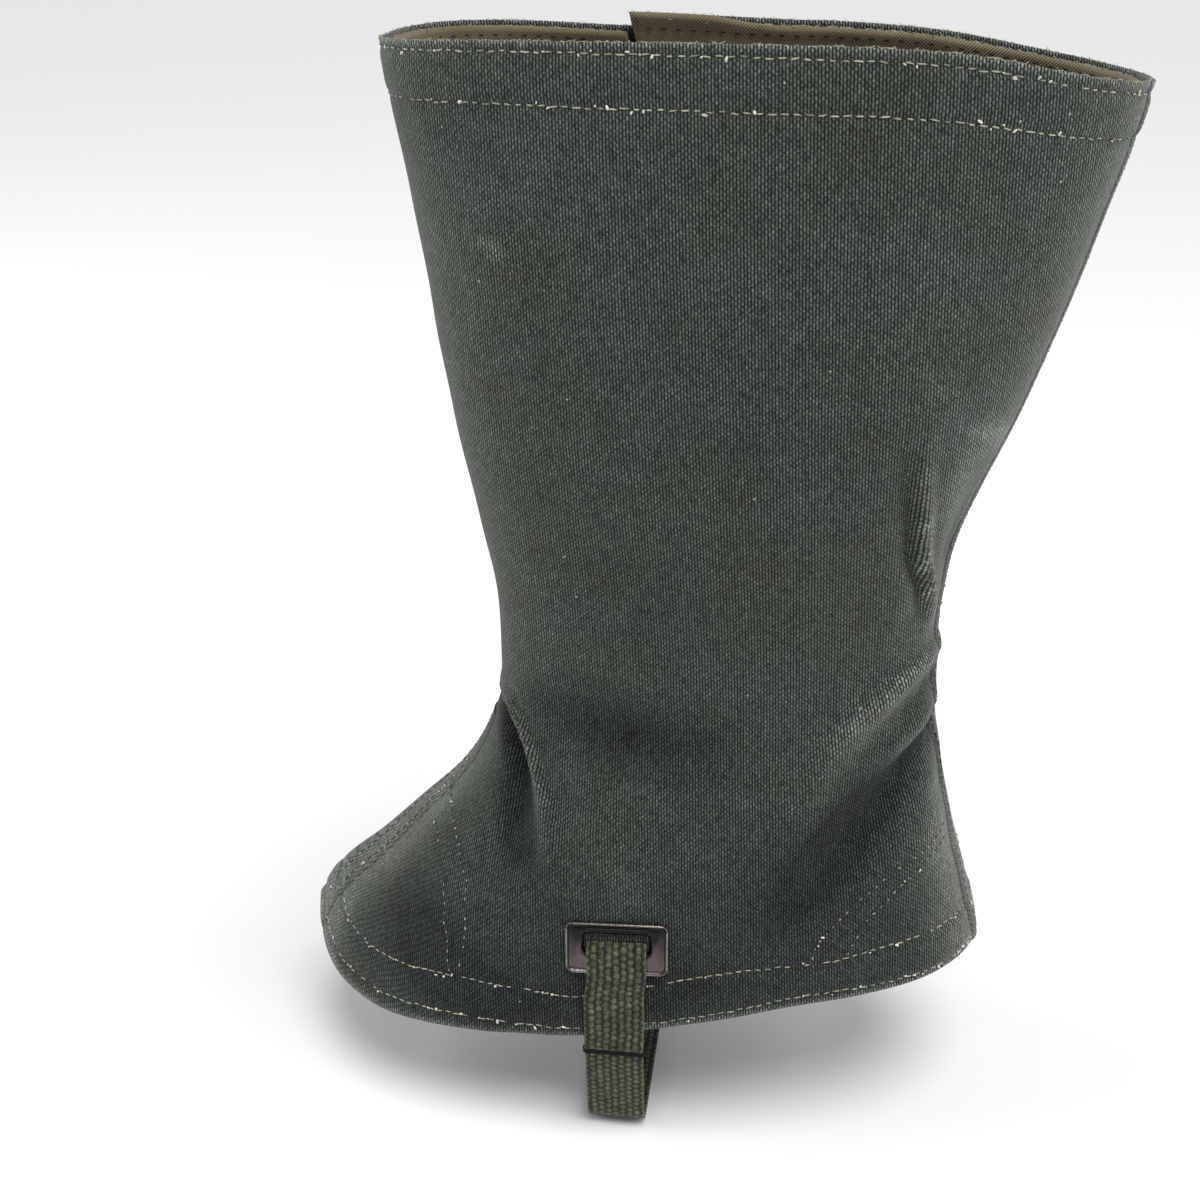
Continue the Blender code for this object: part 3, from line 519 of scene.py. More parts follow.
lengthwise = {0: times(weave, warps, 1.2), 1: calc(weave, "DIVIDE", wefts, THREAD_RUN), 2: 3.7}
crosswise = {0: calc(weave, "DIVIDE", warps, THREAD_RUN), 1: times(weave, wefts, 1.2), 2: 9.1}
warp_tone, weft_tone = (noise(weave, node(weave, "ShaderNodeCombineXYZ", ends).outputs[0], 1.0, 1.0)
                        for ends in (lengthwise, crosswise))
tone = calc(weave, "ADD", times(weave, warp_tone, 0.62), times(weave, weft_tone, 0.38))
fill(weave, weave_out, {"Crown": calc(weave, "ADD", crowns, 0.5), "Thread Tone": tone})

# age: large soft stains, finer blotches, and a scatter of pale lint
LINT_CELLS, LINT_RADIUS, LINT_RARE = 330.0, 0.11, 0.985
age, age_in, age_out = effect_group("age", {"Place": None, "Stain Size": 0.03}, ("Stain", "Blotch", "Lint"))
per_stain = scaled(age, age_in["Place"], calc(age, "DIVIDE", 1.0, age_in["Stain Size"]))
cells = node(age, "ShaderNodeTexVoronoi", {"Vector": age_in["Place"], "Scale": LINT_CELLS}).outputs
few = calc(age, "GREATER_THAN", parts_of(age, cells["Color"])[0], LINT_RARE)
fill(age, age_out, {"Stain": remap(age, noise(age, per_stain, 1.0, 3.0, 0.55), 0.32, 0.68),
                    "Blotch": remap(age, noise(age, per_stain, 4.3, 3.0, 0.6), 0.3, 0.7),
                    "Lint": times(age, calc(age, "LESS_THAN", cells["Distance"], LINT_RADIUS), few)})


def fabric(name, gap, crown, worn_and_light, stained, pitches, wander=0.12, columns=0.27, relief=(0.6, 0.0004),
           sheen=0.28):
    """A woven finish: gap, crown, worn_and_light and stained are its colours, pitches its weave in
    millimetres.
    worn_and_light is for rubbed places and painted highlight; below zero, wear_and_light paints shade.
    """
    material, tree, shader = new_finish(name, {
        "Roughness": 0.92, "Specular IOR Level": 0.18, "Sheen Roughness": 0.45,
        "Sheen Tint": (0.93, 0.95, 0.84, 1.0)})
    place, flat_cloth = place_on(tree), node(tree, "ShaderNodeUVMap", uv_map="flat_cloth").outputs[0]
    threads = use_effect(tree, weave, {"Flat Cloth": flat_cloth, "Warp Pitch": pitches[0],
                                       "Weft Pitch": pitches[1], "Wander": wander, "Column": columns})
    marks = use_effect(tree, age, {"Place": place})
    wear_and_light = node(tree, "ShaderNodeAttribute", attribute_name="wear_and_light").outputs["Fac"]
    color = blend(tree, calc(tree, "MAXIMUM", wear_and_light, 0.0, clamp=True), (*crown, 1.0), (*worn_and_light, 1.0))
    color = blend(tree, remap(tree, threads["Crown"], 0.25, 0.71), (*gap, 1.0), color)
    color = blend(tree, times(tree, marks["Stain"], 0.5), color, (*stained, 1.0), "MULTIPLY")
    uneven = remap(tree, threads["Thread Tone"], 0.3, 0.7, 0.45, 1.55)
    uneven = times(tree, uneven, remap(tree, marks["Blotch"], 0.0, 1.0, 0.86, 1.14))
    uneven = times(tree, uneven, remap(tree, noise(tree, place, 1500.0), 0.32, 0.68, 0.56, 1.46))
    # where wear_and_light is below zero the colour is darkened towards grey as painted shade, and the sheen
    # with it
    painted_trough_shade = times(tree, times(tree, wear_and_light, -1.0, clamp=True), 0.85)
    color = blend(tree, painted_trough_shade, scaled(tree, color, uneven), (0.3, 0.31, 0.33, 1.0), "MULTIPLY")
    color = blend(tree, times(tree, marks["Lint"], 0.6), color, (0.55, 0.56, 0.48, 1.0))
    crests = calc(tree, "ADD", threads["Crown"], times(tree, threads["Thread Tone"], 0.8))
    crumple = noise(tree, place, 95.0, 3.0, 0.55)
    fill(tree, shader, {
        "Base Color": color, "Sheen Weight": times(tree, calc(tree, "SUBTRACT", 1.0, painted_trough_shade), sheen),
        "Normal": bump(tree, crumple, 0.35, 0.0012, Normal=bump(tree, crests, *relief))})
    return material


canvas = fabric("canvas", gap=(0.003, 0.004, 0.005), crown=(0.097, 0.119, 0.103), worn_and_light=(0.265, 0.298, 0.270),
                stained=(0.86, 0.70, 0.60), pitches=(0.858, 0.734))

SEAM_CLEAR = 0.15                 # between the panels' edges at the rear seam
panel_levels = np.concatenate((np.arange(HEM, -101.5, 1.0), np.arange(-101.2, -91.5, 0.8),
                               np.linspace(-90.8, 80.0, 105), np.linspace(82.4, 147.0, 27),
                               np.arange(148.0, TOP + 0.5, 1.0)))[:, None]
stop = 1.0 - SEAM_CLEAR / length_at(panel_levels)
near_ways = -stop * np.concatenate((np.linspace(1.0, 0.705, 58), np.linspace(0.70, 0.325, 40),
                                    np.linspace(0.32, 0.0, 60)))[None, :]
far_ways = edge_way(CLOSURE_EDGE, panel_levels) * np.linspace(0.0, 1.0, 81)[None, 1:]
front_ways = np.concatenate((near_ways, far_ways), axis=1)

# the plate and the eyelets need to be known here, because the canvas is cut away behind them
STRAP_X, PLATE_LEVEL, PLATE_LENGTH, PLATE_HEIGHT = -24.5, -95.5, 32.0, 17.0
SLOT_LENGTH, SLOT_HEIGHT, SLOT_ABOVE_MIDDLE = 20.4, 6.0, 1.6
CLOSURE_LEVELS, EYELET_FROM_EDGE = np.linspace(-98.0, 138.0, 8), 8.5


def plate_point(level, x=STRAP_X):
    points, _ = cloth(way_at(x, level), np.full(1, float(level)), CANVAS)
    return Vector(points[0])


PLATE_TILT = math.radians(3.5)
PLATE_REACH, PLATE_RISE = 12.8, 6.8    # the plate lies along the cloth this far either way of its middle
plate_centre = plate_point(PLATE_LEVEL)
rearmost, foremost = (plate_point(PLATE_LEVEL, STRAP_X + reach) for reach in (PLATE_REACH, -PLATE_REACH))
highest, lowest = (plate_point(PLATE_LEVEL + rise) for rise in (PLATE_RISE, -PLATE_RISE))
plate_across = (rearmost - foremost).normalized()
plate_out = plate_across.cross(highest - lowest).normalized()
tilt = Matrix.Rotation(-PLATE_TILT, 3, plate_out)
plate_rise = tilt @ plate_out.cross(plate_across).normalized()
plate_across = tilt @ plate_across


JOG_FROM, JOG_LENGTH = 0.05, 0.045    # ways round over which the rear panel steps in under the front one


def tuck(way, level):
    """How far the rear panel lies inside the front panel: nothing behind the closure edge."""
    return (CANVAS + LAP_GAP) * soft_step((edge_way(CLOSURE_EDGE, level) + JOG_FROM - way) / JOG_LENGTH)


def eyelet_frame(level, from_edge, out, panel):
    """World matrix on the outer side, from_edge millimetres behind the closure edge; Z points outwards."""
    way = edge_way(CLOSURE_EDGE, level) + from_edge / length_at(level)
    if panel == "outer_rear":
        out -= tuck(way, level)
    ways = np.array((way, way + 0.01, way))
    points, _ = cloth(ways, np.array((level, level, level + 2.0)), out, panel)
    at, behind, above = (Vector(p) for p in points)
    rearward = (behind - at).normalized()
    normal = (above - at).cross(rearward).normalized()
    turn = Matrix((rearward, normal.cross(rearward), normal)).transposed().to_4x4()
    return Matrix.Translation(at * MM) @ turn


# how pale ridges, top and hem are rubbed, and how dark the troughs and the foot are painted as shade
RIDGE_PALE, TROUGH_SHADE, FOOT_SHADE, TOP_PALE, HEM_PALE = 0.085, 0.20, 0.62, 0.9, 1.4
# regions made paler, partly real rubbing and partly painted highlight where the light falls:
# how pale, the share of the way round (from, over) and the level (from, over)
RUBBED_AND_LIT = (
    (0.32, 0.88, 0.12, -10.0, 60.0),      # the back of the calf
    (0.9, 0.972, 0.02, -999.0, 1.0),      # the rear seam, all the way down
    (1.05, 0.84, 0.10, -30.0, -50.0),     # the heel
    (1.30, 0.12, -0.10, -40.0, -40.0),    # the instep
    (0.10, 0.16, -0.16, -30.0, 50.0),     # the shin
)


def wear_and_light_at(way, level):
    """Rubbed pale (+) on ridges, top, hem and rubbed regions, partly painted highlight; painted shade (-) in
    the troughs and towards the foot.
    """
    height = crease_height(bare(way, level))
    worn_and_light = np.where(height > 0, RIDGE_PALE * height, TROUGH_SHADE * height)
    worn_and_light -= FOOT_SHADE * soft_step((-5.0 - level) / 100.0)
    share = np.abs((way + 1.0) % 2.0 - 1.0)
    worn_and_light += TOP_PALE * np.exp(-(level - TOP) ** 2) + HEM_PALE * np.exp(-((level - HEM) / 1.5) ** 2)
    for pale, share_from, share_over, level_from, level_over in RUBBED_AND_LIT:
        worn_and_light += (pale * soft_step((share - share_from) / share_over)
                 * soft_step((level - level_from) / level_over))
    return worn_and_light


# painted highlights, mostly along the crease ridges, and a few pale scuffs (+), and painted shade in
# hollows and near the hem (-): way, level, slope, half width, how pale
SCUFFS_HIGHLIGHTS_AND_SHADE = (
    (-0.218, 116, -0.5, 1.3, 0.95), (-0.762, 84.5, -0.6, 2, 0.2), (-0.905, 66, 2.6, 4, 0.85),
    (-0.87, 54, 1.3, 4.5, 0.6), (-0.8, 54, 1.5, 1.6, 0.45), (-0.833, 39, 1.5, 1.4, 0.65),
    (-0.87, 26, 1.4, 1.3, 0.75), (-0.9, 15, 1.2, 1.4, 0.55), (-0.91, -9.5, 0.4, 1.3, 0.5),
    (-0.86, -12.5, 0.6, 1.4, 0.6), (-0.81, -18.5, 0.8, 1.6, 0.6), (-0.76, -25, 0.9, 1.8, 0.5),
    (-0.137, -36.5, -0.9, 1.1, 0.45), (-0.175, -43, -1, 1.1, 0.5), (-0.208, -50, -1, 1.2, 0.5),
    (-0.24, -56, -1, 1.4, 0.35), (-0.44, -77, -1, 5, 0.3), (-0.232, -104, -0.5, 12, -0.62),
    (-0.33, -31, -0.1, 10, -0.3), (-0.52, -112, 0.1, 9, -0.45), (-0.3, -112, 0, 8, -0.4),
    (-0.2, -62, -1, 7, -0.5), (-0.128, -44, -1, 2.8, -1.1), (-0.13, 146, 0, 12, -0.18),
    (-0.16, -51.5, -1, 2.8, -1), (-0.73, -58, 0.8, 9, -0.6),
)
MARK_STRETCH, MARK_DEPTH = 3.0, 20.0    # length for its width, and how deep round the leg it reaches
front_points, _ = cloth(front_ways, panel_levels)
front_wear_and_light = wear_and_light_at(front_ways, panel_levels)
# each mark adds its own amount to the wear: pale scuff, painted highlight, painted shade
for way, level, slope, wide, pale in SCUFFS_HIGHLIGHTS_AND_SHADE:
    off = front_points - bare(way, level)
    along_mark = off[..., 0] * math.cos(slope) + off[..., 2] * math.sin(slope)
    across_mark = -off[..., 0] * math.sin(slope) + off[..., 2] * math.cos(slope)
    front_wear_and_light += pale * np.exp(-(along_mark / (MARK_STRETCH * wide)) ** 2 - (across_mark / wide) ** 2
                                - (off[..., 1] / MARK_DEPTH) ** 2)
front_flat = weave_map(front_ways, panel_levels, front_points)
bm = cloth_mesh(front_points, front_flat, front_wear_and_light)
CUT_HALF_LENGTH, CUT_HEIGHT, CUT_DEPTH, EYELET_CUT = 9.0, 5.6, 8.0, 2.9
slot_middle = plate_centre + plate_rise * SLOT_ABOVE_MIDDLE
eyelet_frames = [eyelet_frame(level, -EYELET_FROM_EDGE, 0.0, "outer_front") for level in CLOSURE_LEVELS]
cut_away = []
for face in bm.faces:
    centre = face.calc_center_median()
    off = centre / MM - slot_middle
    behind_slot = (abs(off.dot(plate_across)) < CUT_HALF_LENGTH and -CUT_HEIGHT < off.dot(plate_rise) < 0.0
                   and abs(off.dot(plate_out)) < CUT_DEPTH)
    behind_eyelet = centre.y > 0 and any((centre - frame_at.translation).length < EYELET_CUT * MM
                                         for frame_at in eyelet_frames)
    if behind_slot or behind_eyelet:
        cut_away.append(face)
bmesh.ops.delete(bm, geom=cut_away, context="FACES")
front_panel = add_piece("front_canvas", bm, canvas, CANVAS)
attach(front_panel, "root")
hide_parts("front_panel")

# ---- Rear panel ----
# The smaller piece of the same canvas, behind the closure on the outer side.  It is sewn to the front
# panel down the rear of the leg, and its front edge lies hidden under the front panel's.
fly = edge_way(FLY_EDGE, panel_levels)
rear_ways = fly + (stop - fly) * np.linspace(0.0, 1.0, 72)[None, :]
rear_points, _ = cloth(rear_ways, panel_levels, -tuck(rear_ways, panel_levels), "outer_rear")
rear_flat = weave_map(rear_ways, panel_levels, rear_points)
bm = cloth_mesh(rear_points, rear_flat, wear_and_light_at(rear_ways, panel_levels))
rear_panel = add_piece("rear_canvas", bm, canvas, CANVAS)
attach(rear_panel, "root")
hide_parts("rear_panel")

# ---- Rear seam ----
# A narrow strip of canvas over the join of the two panels, folded in at its edges and sewn down with
# two rows.  It stands hardly above the cloth.
STRIP, STRIP_FROM, STRIP_TO = 0.8, 0.957, 1.043    # thickness, and the ways round of its edges
LIE_CLOSE = 0.06                  # it stands clear of the panels by this, less at its edges
EDGE_FOLD = 2.4                   # width over which it thins out to its edges


def strip_piece(name, ways, levels, panel, thickness):
    """A strip of canvas that lies on the cloth and thins out at both of its long edges."""
    off = np.minimum(ways - ways[:, :1], ways[:, -1:] - ways) * length_at(levels)
    inward = np.minimum(off / EDGE_FOLD, 1.0)
    points, _ = cloth(ways, levels, CANVAS + 0.02 + LIE_CLOSE * inward, panel)
    bm = cloth_mesh(points, weave_map(ways, levels, points), wear_and_light_at(ways, levels), 0.06 + 0.94 * inward)
    ob = add_piece(name, bm, canvas, thickness)
    ob.vertex_groups.new(name="wall")
    ob.modifiers["wall"].vertex_group = "wall"
    return ob


seam_span = np.concatenate((np.linspace(STRIP_FROM, 1.0, 8), np.linspace(1.0, STRIP_TO, 8)[1:]))
seam_ways = np.broadcast_to(seam_span, (len(panel_levels), len(seam_span)))
rear_seam = strip_piece("rear_seam_strip", seam_ways, panel_levels, "outer_rear", STRIP)
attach(rear_seam, "root")
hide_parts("rear_seam")

# ---- Instep seam ----
# The lap of the dart that bends the front panel over the instep, from the ankle down to the hem.  It is
# canvas pressed flat and sewn through with two rows.
LAP_TOP, LAP_FROM, LAP_TO, LAP = -41.0, -0.037, 0.008, 0.42
lap_levels = panel_levels[panel_levels[:, 0] <= LAP_TOP]
lap_ways = np.broadcast_to(np.linspace(LAP_FROM, LAP_TO, 10), (len(lap_levels), 10))
instep_seam = strip_piece("instep_lap", lap_ways, lap_levels, "outer_front", LAP)
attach(instep_seam, "root")
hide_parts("instep_seam")

# ---- Top facings ----
# Brown herringbone twill tape inside the top edge of each panel, a little below the canvas edge.  It is
# sewn down through the canvas.  Its colour is painted paler near the edge, where the light reaches it,
# and darker further in as painted shade.
TAPE, TAPE_WIDTH, TAPE_BELOW_EDGE, TAPE_CLEAR, TAPE_FROM_SEAM = 1.0, 20.0, 1.5, 0.12, 2.2
CORNER_RISE = 1.9                 # at the hidden edge's top corner the tape covers the canvas edge
TAPE_LIT, TAPE_SHADED, GROOVE = (0.30, 0.245, 0.155, 1.0), (0.15, 0.112, 0.07, 1.0), (0.07, 0.052, 0.034, 1.0)
TWILL_PITCH, HERRINGBONE = 0.00095, 0.005
twill, tree, shader = new_finish("twill_tape", {
    "Roughness": 0.9, "Specular IOR Level": 0.15, "Sheen Weight": 0.25})
flat = parts_of(tree, node(tree, "ShaderNodeUVMap", uv_map="flat_cloth").outputs[0])
zigzag = calc(tree, "PINGPONG", flat[1], HERRINGBONE)
diagonal = calc(tree, "DIVIDE", calc(tree, "ADD", flat[0], zigzag), TWILL_PITCH)
rib = calc(tree, "MULTIPLY_ADD", calc(tree, "SINE", times(tree, diagonal, math.tau)), 0.5, 0.5)
marks = use_effect(tree, age, {"Place": place_on(tree), "Stain Size": 0.018})
# painted light: paler towards the top edge where light reaches in, painted shade deeper inside
color = blend(tree, remap(tree, flat[1], -0.014, -0.0005), TAPE_SHADED, TAPE_LIT)
color = blend(tree, times(tree, calc(tree, "SUBTRACT", 1.0, rib), 0.55), color, GROOVE)
color = blend(tree, times(tree, marks["Stain"], 0.5), color, (0.62, 0.52, 0.42, 1.0), "MULTIPLY")
fill(tree, shader, {"Base Color": color, "Normal": bump(tree, rib, 0.6, 0.0004)})

TAPE_TOP = TOP - TAPE_BELOW_EDGE
tape_levels = np.linspace(TAPE_TOP - TAPE_WIDTH, TAPE_TOP, 13)[:, None]
tape_stop = TAPE_FROM_SEAM / length_at(tape_levels)


def tape_piece(name, start, end, columns, panel):
    """Tape inside a panel's top, from one way round to another."""
    ways = start + (end - start) * np.linspace(0.0, 1.0, columns)[None, :]
    inset = -tuck(ways, tape_levels) if panel == "outer_rear" else 0.0
    points, _ = cloth(ways, tape_levels, inset - TAPE_CLEAR - TAPE, panel)
    if panel == "outer_rear":
        points[..., 2] += CORNER_RISE * soft_step((0.52 - ways) / 0.10)
    length = ways * length_at(tape_levels) * MM
    depth = (tape_levels - tape_levels[-1]) * MM * np.ones_like(ways)
    return add_piece(name, cloth_mesh(points, (length, depth), np.zeros(ways.shape)), twill, TAPE)


hidden_edge = edge_way(FLY_EDGE, tape_levels)
front_facing = tape_piece("front_tape", -1.0 + tape_stop, hidden_edge - 0.004, 190, "outer_front")
rear_facing = tape_piece("rear_tape", hidden_edge, 1.0 - tape_stop, 80, "outer_rear")
for facing, solid, length, area in ((front_facing, "front_top_facing", 0.35, 0.0070),
                                    (rear_facing, "rear_top_facing", 0.17, 0.0034)):
    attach(facing, "root")
    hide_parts(solid)

# ---- Stitching ----
# Lockstitch in cream cotton thread, three millimetres to the stitch: two rows round the hem and the
# top, two down each reinforcement, the instep lap and the closure edge, with lint caught in it.  Near-black
# marks in its holes, down the sunk rows and along the tape are painted shade.
PITCH, STITCH, THREAD = 3.05, 2.5, 0.24
SHADE_AHEAD = 0.62                 # a stitch hole's painted shade mark lies this share of the run ahead of its stitch's middle
# sizes of the near-black marks that paint the shade in stitch holes, in sunk rows and along the tape
HOLE_SHADE, SUNK_SHADE, TAPE_STITCH_SHADE = (0.42, 0.36, 0.16), (0.98, 0.30, 0.16), (0.9, 0.34, 0.16)
STITCHES_KEPT, LINT_IN_ROWS, LINT_IN_SUNK_ROWS = 0.95, 0.26, 0.08    # shares of the stitches
draw = np.random.default_rng(41)


def thread_finish(name, color, dark):
    material, tree, shader = new_finish(name, {"Roughness": 0.8})
    place = place_on(tree)
    soiled = remap(tree, noise(tree, place, 240.0, 3.0), 0.35, 0.65)
    fill(tree, shader, {"Base Color": blend(tree, soiled, (*dark, 1.0), (*color, 1.0)),
                        "Normal": bump(tree, noise(tree, place, 2600.0, 1.0), 0.5, 0.0002)})
    return material


def repeated(name, unit, matrices, material):
    """One mesh that holds a small closed shape once for each matrix."""
    unit.verts.ensure_lookup_table()
    co = np.array([vert.co for vert in unit.verts])
    faces = [[vert.index for vert in face.verts] for face in unit.faces]
    unit.free()
    turns = np.array([np.array(matrix) for matrix in matrices])
    places = np.einsum("nij,vj->nvi", turns[:, :3, :3], co) + turns[:, None, :3, 3]
    mesh = bpy.data.meshes.new(name)
    mesh.from_pydata(places.reshape(-1, 3), [], [[k + n * len(co) for k in face]
                                                 for n in range(len(turns)) for face in faces])
    mesh.polygons.foreach_set("use_smooth", np.ones(len(mesh.polygons), bool))
    return new_object(name, mesh, material)


def lengths_along(points):
    """The length along a line of points, at each of them."""
    return np.concatenate(([0.0], np.cumsum(np.linalg.norm(np.diff(points, axis=0), axis=1))))


def stations(row, out, panel, pitch=PITCH, inset=None):
    """Places at equal steps along a row of (way, level), with their directions on the cloth."""
    row = np.array(row, float)
    t = np.linspace(0, len(row) - 1, 24 * (len(row) - 1) + 1)
    ways, levels = (np.interp(t, np.arange(len(row)), row[:, k]) for k in (0, 1))
    depth = out if inset is None else out - inset(ways, levels)
    points, normals = cloth(ways, levels, depth, panel)
    run = lengths_along(points)
    at = np.arange(0.5 * pitch, run[-1] - 0.3 * pitch, pitch)
    place, ahead, behind, normal = (
        np.stack([np.interp(at + slide * pitch, run, values[:, k]) for k in range(3)], axis=1)
        for values, slide in ((points, 0.0), (points, 0.4), (points, -0.4), (normals, 0.0)))
    return place, ahead - behind, normal


def lay(place, direction, normal, size, lift=0.0, turn=0.0, slip=0.0):
    """World matrix of a small shape of this size on the cloth, X along the row and Z out of it."""
    x = Vector(direction).normalized()
    z = Vector(normal)
    z = (z - x * z.dot(x)).normalized()
    y = z.cross(x)
    spin = Matrix((x, y, z)).transposed() @ Matrix.Rotation(turn, 3, "Z") @ Matrix.Diagonal(size)
    at = Vector(place) + z * lift + y * slip
    return Matrix.Translation(at * MM) @ spin.to_4x4() @ Matrix.Diagonal((MM, MM, MM, 1.0))


def other_side(row):
    return tuple((-way, level) for way, level in row)


near = np.linspace(-0.985, -0.004, 60)
far_front, far_top = np.linspace(0.004, 0.64, 34), np.linspace(0.004, 0.525, 30)
far_rear = np.linspace(0.69, 0.985, 18)
far_rear_top = np.linspace(0.56, 0.985, 24)
REINFORCED = (
    ((-0.066, -76.5), (-0.097, -77.6), (-0.129, -80.5), (-0.161, -83.9), (-0.195, -90.4), (-0.215, -95.7),
     (-0.228, -97.6), (-0.269, -109)),
    ((-0.032, -69), (-0.064, -70), (-0.11, -72.5), (-0.143, -75.1), (-0.176, -79.3), (-0.204, -82.5),
     (-0.222, -88), (-0.244, -93.5), (-0.259, -98.8), (-0.284, -109.5)),
    ((-0.94, -69.5), (-0.912, -71.4), (-0.864, -74.8), (-0.832, -77.4), (-0.816, -79.6), (-0.794, -84.2),
     (-0.776, -87), (-0.757, -91.9), (-0.733, -99.4), (-0.727, -102.8), (-0.722, -108.8)),
    ((-0.938, -74.5), (-0.909, -76.3), (-0.884, -77.8), (-0.858, -80.9), (-0.834, -84.7), (-0.815, -89.3),
     (-0.789, -95.2), (-0.776, -102.3), (-0.768, -107.8)),
)
LAP_ROWS = (((-0.003, -45), (-0.006, -80), (-0.014, -112)),
            ((-0.021, -60), (-0.023, -74), (-0.028, -81), (-0.028, -93), (-0.026, -103),
             (-0.028, -110)))
SEAM_ROW = ((0.974, 160), (0.972, 80), (0.974, 10), (0.968, -40), (0.972, -120))
closure_rows = [[(edge_way(CLOSURE_EDGE, level) - off / length_at(level), level)
                 for level in np.linspace(-121.0, 161.5, 40)] for off in (2.6, 14.0)]
sewn_box = [(-way_at(STRAP_X + dx, level)[0], level) for dx, level in (
    (-7, -119.5), (7, -119.5), (7, -102), (-7, -102), (-7, -119.5), (7, -102))]
cream_rows = []
for low_ways, high_ways, top_ways, panel in ((near, near[:-2], near, "outer_front"),
                                             (far_front, far_front, far_top, "outer_front"),
                                             (far_rear, far_rear, far_rear_top, "outer_rear")):
    for table, ways in ((HEM_ROW_LOW, low_ways), (HEM_ROW_HIGH, high_ways),
                        (TOP_ROW_HIGH, top_ways), (TOP_ROW_LOW, top_ways)):
        cream_rows.append(([(way, row_level(table, np.array(way))) for way in ways], CANVAS, panel))
cream_rows += [(row, CANVAS, "outer_front") for row in (*closure_rows, sewn_box)]
cream_rows.append((((-0.03, -111.4), (-0.018, -117.0), (-0.012, -122.4)), CANVAS + 0.44, "outer_front"))
ON_LAP, ON_SEAM = CANVAS + 0.46, CANVAS + 0.84
LITTLE_SHOWN, WELL_SHOWN = 0.75, 0.95    # how much of a row's thread stands clear of the canvas
sunk_rows = [(row, CANVAS, "outer_front", LITTLE_SHOWN)
             for row in (*REINFORCED, other_side(REINFORCED[0]), other_side(REINFORCED[1]))]
sunk_rows += [(other_side(row), CANVAS, "outer_rear", LITTLE_SHOWN) for row in REINFORCED[2:]]
sunk_rows += [(row, ON_LAP, "outer_front", WELL_SHOWN) for row in LAP_ROWS]
sunk_rows += [(other_side(SEAM_ROW), ON_SEAM, "outer_front", LITTLE_SHOWN),
              (SEAM_ROW, ON_SEAM, "outer_rear", LITTLE_SHOWN)]
cream = thread_finish("sewing_thread", (0.46, 0.455, 0.35), (0.18, 0.185, 0.14))
# near-black finish for marks that paint the shade in stitch holes and grooves
stitch_shade_finish = thread_finish("painted_stitch_shade", (0.035, 0.036, 0.03), (0.008, 0.009, 0.009))
lint_finish = thread_finish("lint", (0.80, 0.80, 0.72), (0.52, 0.52, 0.45))
cream_stitches, stitch_shade_marks, tufts = [], [], []


def tuft(place, direction, normal, lift):
    size = draw.uniform(0.26, 0.58)
    stretch = (size * draw.uniform(0.9, 1.9), size * draw.uniform(0.6, 1.0), size * draw.uniform(0.5, 0.8))
    return lay(place, direction, normal, stretch, lift, draw.uniform(0, math.pi), draw.uniform(-0.9, 0.9))


for row, out, panel in cream_rows:
    for place, direction, normal in zip(*stations(row, out, panel)):
        sag, slip, turn = draw.uniform(0.04, 0.2), draw.normal(0, 0.12), draw.normal(0, 0.10)
        size = (0.5 * STITCH * draw.uniform(0.6, 1.12), THREAD, THREAD)
        if draw.uniform() < STITCHES_KEPT:
            cream_stitches.append(lay(place, direction, normal, size, sag, turn, slip))
        stitch_shade_marks.append(lay(place + direction * SHADE_AHEAD, direction, normal, HOLE_SHADE, 0.02, turn, slip))
        if draw.uniform() < LINT_IN_ROWS:
            tufts.append(tuft(place + direction * 0.5, direction, normal, 0.4))
for row, out, panel, shown in sunk_rows:
    for place, direction, normal in zip(*stations(row, out, panel)):
        slip, turn = draw.normal(0, 0.08), draw.normal(0, 0.06)
        stitch_shade_marks.append(lay(place, direction, normal, SUNK_SHADE, 0.03, turn, slip))
        if draw.uniform() < shown:
            cream_stitches.append(lay(place + direction * SHADE_AHEAD, direction, normal,
                                      (0.46 * draw.uniform(0.6, 1.4), 0.21, 0.2), 0.08, turn, slip))
        if draw.uniform() < LINT_IN_SUNK_ROWS:
            tufts.append(tuft(place, direction, normal, 0.35))

TAPE_ROW, TAPE_PITCH = TAPE_TOP - 2.4, 4.3
for start, end, panel, inset in ((-0.98, 0.30, "outer_front", None), (0.355, 0.98, "outer_rear", tuck)):
    row = [(way, TAPE_ROW) for way in np.linspace(start, end, 90)]
    for place, direction, normal in zip(*stations(row, -TAPE_CLEAR - TAPE, panel, TAPE_PITCH, inset)):
        slip = draw.normal(0, 0.08)
        stitch_shade_marks.append(lay(place, direction, -normal, TAPE_STITCH_SHADE, slip=slip))

unit = bmesh.new()
bmesh.ops.create_uvsphere(unit, u_segments=6, v_segments=5, radius=1.0)
bmesh.ops.rotate(unit, verts=unit.verts, matrix=Matrix.Rotation(0.5 * math.pi, 3, "Y"))
thread_shape = unit.copy()
tuft_shape = bmesh.new()
bmesh.ops.create_icosphere(tuft_shape, subdivisions=1, radius=1.0)
stitching = repeated("stitching", unit, cream_stitches, cream)
stitch_shadows = repeated("stitch_shadows", thread_shape, stitch_shade_marks, stitch_shade_finish)
lint = repeated("lint_tufts", tuft_shape, tufts, lint_finish)
for piece in (stitching, stitch_shadows, lint):
    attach(piece, "root")

# ---- Frayed edges ----
# Fine pale fibres of the cut cloth that work loose along the top edge of the canvas and of the tape,
# leaning at all angles and caught at one end.
fibres = []


